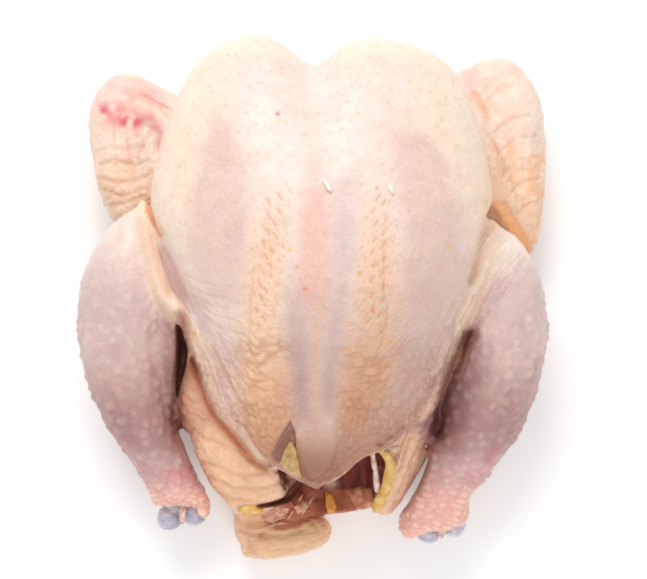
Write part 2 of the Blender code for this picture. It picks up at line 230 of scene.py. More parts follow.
# %% Rings of the flanks, belly flaps and tail
FLANK_LEFT = [
    (-77, 45, 46, 0, 0),
    (-74, 29, 47, 6, 12, 18),
    (-71, 14, 48, 6, 12, 20),
    (-66, 2, 49, 6, 12, 20),
    (-59, -6, 50, 6, 11, 20),
    (-51.5, -17, 51, 5.5, 11, 19),
    (-46.5, -30, 51, 5.5, 10, 18),
    (-40.5, -46, 50, 5, 9, 18),
    (-33, -60, 49, 0, 0),
]
FLANK_RIGHT = [
    (81, 37, 45, 0, 0),
    (78, 28, 47, 6, 11, 18),
    (75, 14, 48, 6, 12, 20),
    (69, 2, 49, 6, 12, 20),
    (63, -10, 50, 6, 11, 20),
    (59.5, -23, 50, 5.5, 10, 19),
    (54.5, -38, 49, 5, 9, 18),
    (48, -55, 46, 0, 0),
]
FLAP_LEFT = [
    (-46, -6, 26, 0, 0), (-46.5, -28, 26, 10.5, 17), (-44.5, -51, 25, 14, 19), (-35, -71, 24, 17.5, 18),
    (-22, -85.5, 21, 18.5, 15), (-12, -96, 18, 0, 0),
]
FLAP_RIGHT = [
    (48, -8, 26, 0, 0), (46, -32, 26, 8, 18), (44.5, -54, 25, 8.5, 19), (40, -76, 22, 8, 17),
    (34, -91, 17, 6.5, 13), (29, -101, 13, 0, 0),
]
TAIL = [
    (-36.5, -103, 11, 0, 0), (-31, -107, 11, 7.2, 9), (-23, -109.5, 12, 10.8, 10),
    (-10, -108.5, 12.5, 10.6, 10), (0, -108, 13, 9, 11), (8.6, -106, 13, 0, 0),
]
TAIL_CORNER = [
    (-35, -95, 14, 0, 0), (-33, -104, 13, 4.5, 9), (-28.5, -112.5, 11, 5.2, 9), (-24.5, -121.5, 8, 0, 0),
]
TAIL_ROOT = [(-10, -66, 12, 0, 0), (-12, -80, 12, 22, 12), (-14, -97, 12, 20, 11), (-14, -112, 11, 0, 0)]
print("flanks, flaps and tail reach down to y", min(ring[1] for ring in TAIL_CORNER + TAIL), "mm")

# %% [markdown]
# ## Hollows
# The drawn body is empty, and the legs only touch the body where they are pressed to it. These
# rings make bodies that are cut away. A cut keeps the deep dark gaps that a smooth blend of
# muscles would fill.

# %% Rings of the hollows
CAVITY = [
    (14, -116, 36, 0, 0), (13, -98, 34, 17, 14), (10, -82, 35, 23, 19), (5, -58, 38, 28, 22),
    (1, -20, 40, 31, 22), (0, 20, 42, 27, 18), (0, 46, 44, 0, 0),
]
GAP_LEFT = [
    (-61, -4, 46, 0, 0),
    (-60.5, -10, 44, 1.4, 30, 10),
    (-59, -19, 42, 2.4, 34, 12),
    (-59.5, -28, 41, 2.2, 34, 12),
    (-61.2, -38, 40, 1.2, 34, 13),
    (-62, -50, 38, 0.9, 34, 14),
    (-60.8, -61, 34, 0.9, 34, 18),
    (-58.3, -67.7, 26, 1.2, 34, 30),
    (-55.6, -72.5, 24, 2.0, 34, 32),
    (-52.3, -78.8, 24, 2.3, 34, 32),
    (-48.4, -87, 24, 2.1, 34, 32),
    (-43.8, -95.4, 24, 2.3, 34, 32),
    (-38, -103, 24, 0, 0),
]
GAP_RIGHT = [
    (53.6, -70, 27, 0, 0),
    (52.3, -74, 26, 1.1, 34, 34),
    (48.3, -83, 24, 1.8, 34, 32),
    (43.5, -91.8, 24, 2.1, 34, 32),
    (37, -101, 24, 0, 0),
]
ROLL_GAP = [
    (-34, -95.6, 31, 0, 0),
    (-29, -94.6, 31, 0.7, 20, 4),
    (-23.7, -94, 30, 1.0, 20, 6),
    (-18, -93, 28, 1.3, 20, 9),
    (-12.7, -91, 27, 1.7, 20, 11),
    (-8.5, -87, 27, 2.2, 20, 12),
    (-4, -80, 28, 0, 0),
]
HOLLOWS = {"body_cavity": CAVITY, "gap_left": GAP_LEFT, "gap_right": GAP_RIGHT, "roll_gap": ROLL_GAP}
print(len(HOLLOWS), "hollows to cut")

# %% [markdown]
# ## Wings
# A folded wing is an upper arm, a forearm turned back along it, a web of skin between them and
# a hand tucked behind the back. One function makes all four parts from four joints, so that
# both wings are built alike and only their joints differ.

# %% Rings of the wings


def wing(side, shoulder, elbow, wrist, hand_end):
    """Rings of the upper arm, the forearm, the skin between them and the hand, of a folded wing."""
    shoulder, elbow, wrist, hand_end = (np.array(p, float) for p in (shoulder, elbow, wrist, hand_end))
    ex, ey, ez = elbow
    wx, wy, wz = wrist
    upper = [
        (*shoulder, 0, 0),
        (*(shoulder * 0.8 + elbow * 0.2), 15, 15),
        (*(shoulder * 0.45 + elbow * 0.55), 13, 14),
        (*(shoulder * 0.12 + elbow * 0.88), 7, 9),
        (ex, ey - 4, ez, 0, 0),
    ]
    fore = [
        (ex, ey - 5, ez, 0, 0),
        (ex * 0.9 + wx * 0.1, ey * 0.9 + wy * 0.1, ez, 6.5, 9),
        ((ex + wx) / 2, (ey + wy) / 2, (ez + wz) / 2 + 1, 11.5, 12),
        (ex * 0.15 + wx * 0.85, ey * 0.15 + wy * 0.85, wz, 12, 11),
        (wx, wy + 9, wz, 0, 0),
    ]
    web = [
        (wx - side * 16, wy + 3, wz, 0, 0),
        (wx - side * 18, wy - 10, wz, 21, 9),
        ((wx + ex) / 2 - side * 16, (wy + ey) / 2, wz, 21, 9),
        (ex - side * 9, ey + 12, ez + 2, 10, 7),
        (ex - side * 5, ey, ez, 0, 0),
    ]
    hand = [
        (wx + side * 6, wy - 2, wz, 0, 0),
        (wx - side * 4, wy, wz - 1, 10, 8),
        (*(wrist * 0.6 + hand_end * 0.4 + (0, 2, 0)), 8, 8),
        (*(wrist * 0.2 + hand_end * 0.8), 7, 6),
        (*hand_end, 0, 0),
    ]
    return [upper, fore, web, hand]


WING_LEFT = wing(-1, (-50, 84, 38), (-88, 34, 18), (-92.5, 95, 22), (-24, 68, 9))
WING_RIGHT = wing(1, (56, 84, 38), (99, 23, 18), (92, 102, 22), (26, 86, 9))
print("wing joints from y", WING_LEFT[0][-1][1], "to", WING_LEFT[3][0][1], "mm")

# %% [markdown]
# ## The breast's cleft, and the list of muscles
# At the neck end the breast is two lobes with a shallow cleft between them. Moving the loft's
# points by a formula makes the cleft without a second body. Each muscle is then listed with its
# zone, so that later steps know which part of the skin is breast, leg or wing.

# %% Cleft and muscles


def breast_with_cleft():
    """The breast's loft, drawn in between its two lobes at the neck end."""
    points, faces = loft(BREAST, 2.25, segments=88, steps=72)
    x, y, z = points.T
    share = np.clip((y - 45) / 60, 0, 1)
    beside = np.exp(-(((x - 0.5) / 13) ** 2))
    on_lobe = np.exp(-(((x + 30) / 18) ** 2))
    z = np.where(z > 50, z - 5 * beside * share, z)
    y = y + (3 * on_lobe - 14 * beside) * share**3
    return np.stack([x, y, z], axis=1), faces


ZONE_COUNT = 9
(
    BREAST_ZONE, BACK_ZONE, LEG_ZONE, FLANK_ZONE, FLAP_ZONE,
    TAIL_ZONE, WING_ZONE, CAVITY_ZONE, GAP_ZONE,
) = range(ZONE_COUNT)
MUSCLES = [
    (BREAST_ZONE, breast_with_cleft()),
    (BREAST_ZONE, loft(KEEL_NUB)),
    (BACK_ZONE, loft(BACK, 2.4, segments=72)),
    (BACK_ZONE, loft(NECK_SKIN)),
    (FLANK_ZONE, loft(FLANK_LEFT)),
    (FLANK_ZONE, loft(FLANK_RIGHT)),
    (FLAP_ZONE, loft(FLAP_LEFT, 2.3)),
    (FLAP_ZONE, loft(FLAP_RIGHT)),
    (TAIL_ZONE, loft(TAIL, 2.5)),
    (TAIL_ZONE, loft(TAIL_CORNER)),
    (TAIL_ZONE, loft(TAIL_ROOT)),
]
LEGS = (THIGH_LEFT, THIGH_RIGHT, DRUMSTICK_LEFT, DRUMSTICK_RIGHT, ANKLE_LEFT, ANKLE_RIGHT, CUFF_RIGHT)
MUSCLES += [(LEG_ZONE, loft(rings)) for rings in LEGS]
MUSCLES += [(WING_ZONE, loft(rings)) for rings in WING_LEFT + WING_RIGHT]
print(len(MUSCLES), "muscles,", sum(len(points) for _, (points, _) in MUSCLES), "points")

# %% [markdown]
# ## One skin over all of them
# A voxel remesh swallows every overlap and leaves one closed skin of even small squares. The
# hollows are then cut out, and the skin is remeshed again so that their rims are as fine. From
# here on the skin is two arrays, its places in millimetres and its squares, because it is
# quicker and plainer to shape 270,000 points by formulas than by modifiers.

# %% Remesh, cut the hollows, remesh again
MUSCLE_VOXEL = 1.3 * MM
SKIN_VOXEL = 0.88 * MM


def mesh_object(name, points, faces):
    """A new object in the scene from points in millimetres and faces."""
    data = bpy.data.meshes.new(name)
    data.from_pydata((np.asarray(points) * MM).tolist(), [], faces)
    made = bpy.data.objects.new(name, data)
    bpy.context.scene.collection.objects.link(made)
    return made


def applied(thing):
    """The object's mesh with its modifiers worked in. The modifiers are then removed."""
    graph = bpy.context.evaluated_depsgraph_get()
    data = bpy.data.meshes.new_from_object(thing.evaluated_get(graph))
    thing.modifiers.clear()
    thing.data = data
    return thing


def remeshed(thing, voxel):
    """The object as one closed skin of even squares, a voxel wide in metres."""
    remesh = thing.modifiers.new("Remesh", "REMESH")
    remesh.mode = "VOXEL"
    remesh.voxel_size = voxel
    return applied(thing)


all_points, all_faces, start = [], [], 0
for _, (points, faces) in MUSCLES:
    all_points.append(points)
    all_faces += [[i + start for i in face] for face in faces]
    start += len(points)
skin = remeshed(mesh_object("chicken_body", np.concatenate(all_points), all_faces), MUSCLE_VOXEL)
hollow_points = []
for name, rings in HOLLOWS.items():
    points, faces = loft(rings)
    hollow = mesh_object(name, points, faces)
    take_out = skin.modifiers.new(name, "BOOLEAN")
    take_out.operation = "DIFFERENCE"
    take_out.solver = "MANIFOLD"
    take_out.object = hollow
    skin = applied(skin)
    bpy.data.objects.remove(hollow)
    hollow_points.append(points)
skin = remeshed(skin, SKIN_VOXEL)

place = np.empty(len(skin.data.vertices) * 3, np.float32)
skin.data.vertices.foreach_get("co", place)
place = place.reshape(-1, 3).astype(float) / MM
squares = np.empty(len(skin.data.polygons) * 4, np.int32)
skin.data.polygons.foreach_get("vertices", squares)
squares = squares.reshape(-1, 4)
edges = np.empty(len(skin.data.edges) * 2, np.int32)
skin.data.edges.foreach_get("vertices", edges)
edge_a, edge_b = edges.reshape(-1, 2).T
COUNT = len(place)
print("skin of", COUNT, "points and", len(squares), "squares")

# %% [markdown]
# ## Working on all points at once
# Blender's own brushes work on a few points by hand. Here the mean of a point's neighbours, the
# normals and the smooth steps are worked out for every point together, with numpy. `relaxed`
# is the smooth brush, and `step_up` and `bell` are soft masks.

# %% Helpers that work on the whole skin
DEGREE = np.bincount(edge_a, minlength=COUNT) + np.bincount(edge_b, minlength=COUNT)


def neighbours_mean(values):
    """For each point, the mean of the values at the points it shares an edge with."""
    columns = values.reshape(COUNT, -1).T
    means = [
        (np.bincount(edge_a, column[edge_b], COUNT) + np.bincount(edge_b, column[edge_a], COUNT)) / DEGREE
        for column in columns
    ]
    return np.stack(means, axis=1).reshape(values.shape)


def relaxed(values, rounds, share=0.5):
    """The values moved toward their neighbours' mean, round after round."""
    for _ in range(rounds):
        values = values + share * (neighbours_mean(values) - values)
    return values


def outward(place):
    """The skin's unit normals at these places."""
    a, b, c, d = (place[squares[:, i]] for i in range(4))
    flat = np.cross(c - a, d - b)
    total = np.zeros_like(place)
    for axis in range(3):
        for corner in range(4):
            total[:, axis] += np.bincount(squares[:, corner], flat[:, axis], COUNT)
    return total / np.maximum(np.linalg.norm(total, axis=1), 1e-9)[:, None]


def step_up(low, high, values):
    """0 below low, 1 above high, and a smooth rise between."""
    part = np.clip((values - low) / (high - low), 0, 1)
    return part * part * (3 - 2 * part)


def bell(distance, width):
    """1 at no distance, falling smoothly to 0 over about twice the width."""
    return np.exp(-((distance / width) ** 2))


print("each point of the skin has about", round(float(DEGREE.mean()), 1), "neighbours")

# %% Relax the skin and find its zones
place = relaxed(place, 12)
hollow_zones = [CAVITY_ZONE, GAP_ZONE, GAP_ZONE, GAP_ZONE]
tagged = [(zone, points) for zone, (points, _) in MUSCLES] + list(zip(hollow_zones, hollow_points))
zone_of_point = np.concatenate([np.full(len(points), zone) for zone, points in tagged])
tree = KDTree(len(zone_of_point))
for index, point in enumerate(np.concatenate([points for _, points in tagged])):
    tree.insert(point, index)
tree.balance()
nearest = zone_of_point[[tree.find(point)[1] for point in place]]
zones = relaxed(np.eye(ZONE_COUNT)[nearest], 6)
on_breast, on_back, on_leg, on_flank, on_flap, on_tail, on_wing, in_cavity, in_gap = zones.T
facing = outward(place)
print("share of the skin on the legs", round(float(on_leg.mean()), 3))

# %% [markdown]
# ## Random fields
# Skin is never even. `wander` is smooth noise whose lumps are a given number of millimetres
# across, and `cells` gives the distance to the nearest of many scattered points, which is how
# feather follicles are spread. Both are seeded, so every run makes the same bird.

# %% Smooth noise and scattered cells


def lattice(ix, iy, iz, seed):
    """A number from 0 to 1 for each whole-number place, always the same for one seed."""
    h = ix.astype(np.uint32) * np.uint32(374761393) + iy.astype(np.uint32) * np.uint32(668265263)
    h = h + iz.astype(np.uint32) * np.uint32(2246822519) + np.uint32(seed * 3266489917 % 2**32)
    h = (h ^ (h >> np.uint32(15))) * np.uint32(2246822519)
    h = (h ^ (h >> np.uint32(13))) * np.uint32(3266489917)
    return ((h ^ (h >> np.uint32(16))) & np.uint32(0xFFFFFF)) / float(0xFFFFFF)


def wander(size, seed, where=None):
    """Smooth noise from -1 to 1 with lumps of this size. A size may differ along x, y and z."""
    scaled = (place if where is None else where) / np.asarray(size, float)
    whole = np.floor(scaled).astype(np.int64)
    part = scaled - whole
    part = part * part * (3 - 2 * part)
    total = np.zeros(len(scaled))
    for dx in (0, 1):
        for dy in (0, 1):
            for dz in (0, 1):
                near_x, near_y = np.abs(1 - dx - part[:, 0]), np.abs(1 - dy - part[:, 1])
                weight = near_x * near_y * np.abs(1 - dz - part[:, 2])
                total += weight * lattice(whole[:, 0] + dx, whole[:, 1] + dy, whole[:, 2] + dz, seed)
    return 2 * total - 1


def cells(size, seed, where=None):
    """Distance in millimetres to the nearest scattered point, and to the second nearest."""
    scaled = (place if where is None else where) / size
    whole = np.floor(scaled).astype(np.int64)
    first, second = np.full(len(scaled), 9.0), np.full(len(scaled), 9.0)
    for dx in (-1, 0, 1):
        for dy in (-1, 0, 1):
            for dz in (-1, 0, 1):
                corner = whole + (dx, dy, dz)
                jitter = [lattice(*corner.T, seed + axis) for axis in range(3)]
                gap = np.linalg.norm(corner + 0.15 + 0.7 * np.stack(jitter, axis=1) - scaled, axis=1)
                second = np.minimum(second, np.maximum(first, gap))
                first = np.minimum(first, gap)
    return first * size, second * size


print("noise at the first point", round(float(wander(10, 1)[0]), 3))

# %% [markdown]
# ## Folds, creases and follicles
# Each fold is a line in the picture's pixels, and `near` gives how far each point of the skin
# looks from it. A bell of that distance, times a height, raises a ridge or presses a groove.

# %% Lines and outlines on the skin
seen_x, seen_y = seen(place)
up_facing = step_up(-0.05, 0.25, facing[:, 2])


FAR = 99.0


def near(path, reach=25.0):
    """Distance in pixels from each point of the skin to the line, and FAR beyond the reach."""
    path = np.asarray(path, float)
    low, high = path.min(axis=0) - reach, path.max(axis=0) + reach
    in_reach = (seen_x > low[0]) & (seen_x < high[0]) & (seen_y > low[1]) & (seen_y < high[1])
    inside = np.flatnonzero(in_reach)
    x, y = seen_x[inside], seen_y[inside]
    least = np.full(len(inside), FAR)
    for (ax, ay), (bx, by) in zip(path[:-1], path[1:]):
        run_x, run_y = bx - ax, by - ay
        part = np.clip(((x - ax) * run_x + (y - ay) * run_y) / max(run_x**2 + run_y**2, 1e-9), 0, 1)
        least = np.minimum(least, np.hypot(x - ax - part * run_x, y - ay - part * run_y))
    found = np.full(COUNT, FAR)
    found[inside] = least
    return found


def within(outline, soft=2.0):
    """1 inside a closed outline of pixels and 0 outside, fading over the soft width."""
    closed = [*outline, outline[0]]
    inside = np.zeros(COUNT, bool)
    for (ax, ay), (bx, by) in zip(closed[:-1], closed[1:]):
        crosses = (ay > seen_y) != (by > seen_y)
        where = ax + (seen_y - ay) * (bx - ax) / ((by - ay) if by != ay else 1e-9)
        inside ^= crosses & (seen_x < where)
    away = near(closed)
    return step_up(-soft, soft, np.where(inside, away, -away))


def round_spot(x, y, wide, high):
    """A soft oval spot at a pixel, as wide and high as given."""
    return bell(np.hypot((seen_x - x) / wide, (seen_y - y) / high), 1.0)


print("share of the skin that faces the camera", round(float((up_facing > 0.5).mean()), 2))

# %% [markdown]
# ## Soft lumps
# Meat and fat under the skin are never quite smooth. Two sizes of noise lift the skin along its
# normals, a little more on legs, wings and belly than on the taut breast.

# %% Soft lumps all over
lift = 0.55 * wander(26, 1) + 0.3 * wander(11, 2)
lift += on_leg * (0.7 * wander(15, 3) + 0.35 * wander(7, 4))
lift += (on_flap + on_tail) * (0.8 * wander(9, 5) + 0.4 * wander(5, 6))
lift += on_wing * (0.6 * wander(9, 7) + 0.25 * wander(4.5, 8))
lift += in_cavity * (1.2 * wander(10, 9) + 0.5 * wander((3, 9, 3), 10))
lift *= step_up(0.5, 6, place[:, 2])
place = place + facing * lift[:, None]
print("lumps from", round(float(lift.min()), 2), "to", round(float(lift.max()), 2), "mm")

# %% [markdown]
# ## Large folds
# The skin sheet from breast to knee folds over itself: a cream crest, a lavender valley beside
# it and a dark hollow below. A simulated cloth would fold somewhere else, so each fold is a line
# read from the photograph, with its height in millimetres and its width in pixels.

# %% Large folds: flanks, wing and tail
FLANK_CREST_LEFT = [
    (143, 203), (149, 222), (151, 240), (157, 268), (165, 293), (177, 307), (190, 318), (200, 335),
    (207, 350), (213, 370), (224, 398), (236, 420),
]
FLANK_VALLEY_LEFT = [(152, 212), (158, 232), (166, 252), (177, 282), (190, 302), (203, 326)]
FLANK_CREST_RIGHT = [
    (487, 262), (478, 282), (470, 300), (463, 316), (456, 330), (449, 344), (443, 358), (438, 372),
]
BREAST_EDGE_RIGHT = [(496, 221), (484, 233), (476, 246), (473, 262), (470, 280)]
BREAST_EDGE_LOW_LEFT = [(186, 345), (195, 366), (203, 390), (216, 416), (236, 438), (252, 459), (266, 467)]
BREAST_EDGE_LOW_RIGHT = [(438, 378), (430, 396), (416, 414), (398, 430), (380, 444)]
HOLLOW_LEFT = [(181, 316), (183, 335), (181, 355), (178, 380), (177, 405), (178, 430)]
HOLLOW_RIGHT = [(470, 334), (461, 348), (453, 364), (446, 384), (441, 405), (437, 432)]
on_side = on_flank + on_leg + on_breast
LARGE_FOLDS = [
    # line, height in millimetres, width in pixels, where
    (FLANK_CREST_LEFT, 2.0, 6.0, on_side),
    (FLANK_VALLEY_LEFT, -1.4, 6.0, on_side),
    ([(149, 207), (154, 221), (161, 236)], -3.0, 2.2, 1.0),
    (FLANK_CREST_RIGHT, 1.6, 3.5, on_side),
    (BREAST_EDGE_RIGHT, -2.4, 3.2, on_side),
    ([(444, 306), (436, 330), (432, 350)], -0.8, 5.0, on_breast),
    (HOLLOW_LEFT, -4.0, 5.0, 1.0),
    (HOLLOW_RIGHT, -6.0, 6.5, 1.0),
    (BREAST_EDGE_LOW_LEFT, -4.5, 3.0, 1.0),
    (BREAST_EDGE_LOW_RIGHT, -4.0, 3.0, 1 - on_leg),
    ([(262, 535), (285, 536), (303, 529)], -1.6, 3.0, on_tail),
    ([(248, 552), (275, 546), (300, 541), (318, 536)], 1.2, 6.0, on_tail),
    ([(246, 552), (242, 535), (238, 520)], 1.0, 4.0, on_tail),
    ([(140, 95), (155, 103), (171, 112)], -2.2, 2.2, on_wing),
    ([(131, 111), (139, 122), (151, 130), (161, 134)], -1.6, 2.4, on_wing),
    ([(157, 138), (157, 154)], -3.0, 3.0, on_wing),
    ([(503, 203), (514, 219), (524, 237), (532, 258)], -1.4, 2.0, on_wing),
    ([(497, 208), (507, 224), (518, 243), (527, 257)], 1.2, 4.0, on_wing),
    ([(476, 94), (483, 106), (489, 120)], -1.6, 2.4, on_wing),
    ([(487, 90), (492, 103), (496, 116)], -1.4, 2.4, on_wing),
]
lift = np.zeros(COUNT)
for line, height, width, where in LARGE_FOLDS:
    lift += height * bell(near(line), width) * where
lift += 1.8 * round_spot(148, 117, 12, 9) * on_wing
lift += 1.8 * round_spot(319, 527, 11, 11) * on_tail
lift += -2.4 * round_spot(268, 522, 20, 6) * on_tail
lift += 1.2 * round_spot(251, 511, 12, 6) * (on_tail + on_flap)
facing = outward(place)
straight_down = np.array([0.0, 0.0, 1.0])
pressed = lift < 0
lift *= up_facing
place = place + np.where(pressed[:, None], straight_down, facing) * lift[:, None]
place = relaxed(place, 2)
print(len(LARGE_FOLDS), "large folds")

# %% [markdown]
# ## The keel's tip
# The breastbone ends in soft cartilage under a clear membrane. Its skin has torn back at the
# left, which bares flesh and a lens of fat. The tear is pressed in and the membrane raised.

# %% The keel's tip, where the skin has torn back
TEAR = [
    (290, 421), (284, 430), (276, 443), (270, 456), (273, 463), (281, 465), (289, 462), (296, 450),
    (294, 432),
]
KEEL_CAP = [
    (295, 432), (303, 428), (315, 428), (330, 430), (339, 440), (338, 455), (334, 466), (325, 476),
    (313, 482), (305, 480), (299, 468), (296, 450),
]
torn, capped = within(TEAR, 1.0) * on_breast, within(KEEL_CAP, 2.5) * on_breast
cap_shown = capped * step_up(426, 456, seen_y)
lift = -1.8 * torn + 1.3 * cap_shown + 1.2 * round_spot(315, 484, 8, 5) * on_breast
lift -= 0.9 * bell(near([(293, 431), (296, 449), (300, 467), (304, 480)]), 1.6) * on_breast
lift += 0.8 * bell(near([(287, 424), (279, 436), (271, 449), (267, 458), (272, 465)]), 2.6) * on_breast
facing = outward(place)
place = place + facing * (lift * up_facing)[:, None]
print("tear over", int((torn > 0.5).sum()), "points, membrane over", int((capped > 0.5).sum()))

# %% [markdown]
# ## Single creases
# These are the creases that the eye finds one by one: two long ones down the breast, rays at
# the knee, rings round the forearm and folds over the belly. Noise could give creases too, but
# not in these places. `creased` keeps where they are, because a crease is also a little redder.

# %% Single creases
CREASES = [
    # line, height in millimetres, width in pixels: the breast's two long creases come first
    ([(253, 272), (250, 300), (249, 335), (250, 360), (254, 381)], -0.5, 1.4),
    ([(385, 250), (384, 275), (384, 295), (388, 305), (387, 325), (381, 346), (374, 364)], -0.5, 1.4),
    ([(186, 275), (200, 283), (217, 286)], -0.3, 1.4),
    ([(188, 285), (203, 294), (224, 298)], -0.3, 1.4),
    ([(190, 294), (206, 304), (228, 309)], -0.35, 1.5),
    ([(196, 303), (213, 315), (234, 320)], -0.35, 1.5),
    ([(204, 317), (222, 330), (244, 336)], -0.35, 1.5),
    ([(212, 346), (222, 369), (233, 393), (246, 416)], -0.8, 1.9),
    ([(205, 352), (213, 376), (222, 400)], -0.7, 1.8),
    ([(218, 335), (229, 358), (238, 380)], -0.5, 1.8),
    ([(469, 286), (462, 297), (453, 312), (447, 326)], 1.3, 1.9),
    ([(494, 288), (484, 304), (476, 317), (467, 329)], 1.3, 2.0),
    ([(500, 300), (490, 315), (480, 326)], 1.0, 2.0),
    ([(474, 295), (466, 309), (459, 322)], -0.9, 1.7),
    ([(483, 308), (474, 321), (465, 332)], -0.9, 1.7),
    ([(456, 300), (446, 318), (437, 336)], -0.4, 1.5),
    ([(447, 326), (438, 345), (428, 362)], -0.4, 1.5),
    ([(462, 352), (458, 366), (452, 380)], -0.6, 1.8),
    ([(469, 350), (466, 365), (461, 378)], -0.6, 1.8),
    # the wings
    ([(98, 150), (110, 147), (126, 150), (142, 146)], -0.6, 2.0),
    ([(100, 164), (115, 160), (134, 165), (148, 160)], -0.7, 2.1),
    ([(103, 178), (118, 184), (135, 180), (150, 175)], -0.7, 2.2),
    ([(106, 190), (121, 197), (141, 190)], -0.7, 2.2),
    ([(111, 205), (124, 204), (141, 197)], -0.7, 2.0),
    ([(113, 118), (114, 140), (116, 166)], -0.6, 1.8),
    ([(128, 140), (131, 160), (130, 176)], -0.6, 1.8),
    ([(148, 101), (160, 106), (168, 118)], -0.7, 1.8),
    ([(497, 130), (512, 118), (530, 116)], -0.6, 1.8),
    ([(500, 152), (516, 138), (536, 136)], -0.6, 1.8),
    ([(503, 176), (518, 160), (538, 156)], -0.6, 1.8),
    ([(508, 196), (522, 182), (539, 178)], -0.6, 1.8),
    ([(518, 214), (528, 204), (539, 200)], -0.6, 1.8),
    ([(488, 100), (500, 88), (515, 82)], -0.5, 1.8),
    # fibres along the left flank's fold
    ([(146, 212), (150, 235), (155, 262), (162, 286), (172, 302)], -0.5, 1.5),
    ([(150, 228), (155, 252), (161, 276), (170, 294)], -0.4, 1.4),
    ([(181, 310), (193, 326), (201, 342), (207, 362)], -0.7, 1.6),
    ([(186, 322), (194, 338), (200, 356), (207, 378)], -0.7, 1.7),
    ([(196, 322), (206, 338), (213, 356)], -0.5, 1.5),
    ([(182, 330), (188, 348), (194, 368), (202, 392)], 0.6, 2.2),
    # the left belly roll, the right belly flap and the tail
    ([(184, 398), (194, 404), (206, 402)], -0.8, 2.0),
    ([(186, 412), (200, 420), (214, 421)], -0.8, 2.2),
    ([(190, 430), (206, 440), (226, 446)], -0.9, 2.4),
    ([(202, 462), (224, 470), (246, 476), (262, 474)], -0.9, 2.4),
    ([(208, 476), (232, 488), (258, 490), (280, 484)], -0.9, 2.4),
    ([(240, 452), (258, 468), (278, 478)], -0.7, 2.2),
    ([(216, 492), (232, 500), (250, 501)], -0.8, 2.2),
    ([(246, 500), (262, 497), (278, 493)], 0.8, 2.4),
    ([(238, 528), (250, 534), (262, 534)], -0.8, 2.0),
    ([(262, 548), (282, 550), (304, 546)], -0.6, 2.0),
    ([(247, 540), (252, 549), (260, 556)], -0.7, 2.0),
    ([(425, 400), (415, 425), (405, 450), (399, 470)], -0.8, 2.0),
    ([(430, 420), (420, 445), (410, 470), (400, 492)], -0.6, 1.8),
    ([(412, 420), (402, 442), (396, 456)], -0.6, 1.8),
    ([(240, 512), (258, 517), (268, 512)], -0.8, 1.4),
    ([(300, 545), (318, 539), (328, 530)], -0.5, 1.8),
    ([(255, 540), (268, 530), (285, 527)], -0.7, 1.6),
    ([(262, 519), (272, 524), (286, 522)], 0.7, 1.6),
    ([(310, 521), (316, 529), (318, 538)], -0.6, 1.6),
]
lift = np.zeros(COUNT)
creased = np.zeros(COUNT)
for line, height, width in CREASES:
    beside = bell(near(line, 8.0), width)
    lift += height * beside
    creased = np.maximum(creased, beside * (height < 0) * min(1.0, -height))
print(len(CREASES), "creases")

# %% [markdown]
# ## Feather tracts
# Feathers grow in rows, and plucking leaves each follicle as a short slanted slit with a raised
# lip. The rows either side of the keel are large enough to model. The finer ones between them
# are left to the material.

# %% Feather tracts: rows of follicles either side of the keel


ROWS = 10
SIDE_SLITS = [
    # where a smaller slit starts and ends beside the main one, in pixels, and its strength
    (15, -7, 18, -3, 0.6),
    (-19, 3, -17, 7, 0.65),
    (-34, -4, -33, -2, 0.4),
]


def tract_strokes(top, foot, lean, first_row):
    """Short slanted slits down a line, one for each follicle, with smaller rows beside it."""
    strokes = []
    (tx, ty), (fx, fy) = top, foot
    for row in range(ROWS):
        part = row / (ROWS - 1)
        x, y = tx + (fx - tx) * part, ty + (fy - ty) * part
        x += 1.8 * math.sin(row * 2.4 + first_row)
        y += 1.4 * math.sin(row * 1.7 + first_row)
        long = (3.6 - 1.6 * part) * (0.85 + 0.25 * math.sin(row * 3.1))
        strokes.append(((x - lean * long, y - long), (x + lean * long, y + long), 1.0))
        for x1, y1, x2, y2, strength in SIDE_SLITS:
            strokes.append(((x + lean * x1, y + y1), (x + lean * x2, y + y2), strength))
    return strokes


TRACTS = [
    # top and foot in pixels, lean, the first row's number, and one slit in how many is kept
    ((280, 197), (263, 318), 0.62, 0, 1),
    ((376, 197), (371, 322), -0.62, 2, 1),
    ((270, 204), (257, 325), 0.55, 4, 4),
    ((386, 204), (380, 330), -0.55, 5, 4),
]
follicle_rows = []
for top, foot, lean, first_row, every in TRACTS:
    follicle_rows += tract_strokes(top, foot, lean, first_row)[::every]
slits, lips = np.zeros(COUNT), np.zeros(COUNT)
for (ax, ay), (bx, by), strength in follicle_rows:
    slits = np.maximum(slits, strength * bell(near([(ax, ay), (bx, by)], 8.0), 1.4))
    lips = np.maximum(lips, strength * bell(near([(ax, ay + 3.4), (bx, by + 3.4)], 9.0), 2.4))
slits *= on_breast * up_facing
lips *= on_breast * up_facing
lift += 0.3 * lips - 0.35 * slits
print(len(follicle_rows), "modelled follicles")

# %% [markdown]
# ## Scales, pebbles and goose bumps
# Below the follicles the skin is gathered into small scales. The scales are cells stretched
# along the grain, and the grain runs level over the keel and slants up at both flanks. Looser
# skin lower down goes pebbled, and the legs and wings have goose bumps about 5 mm apart.

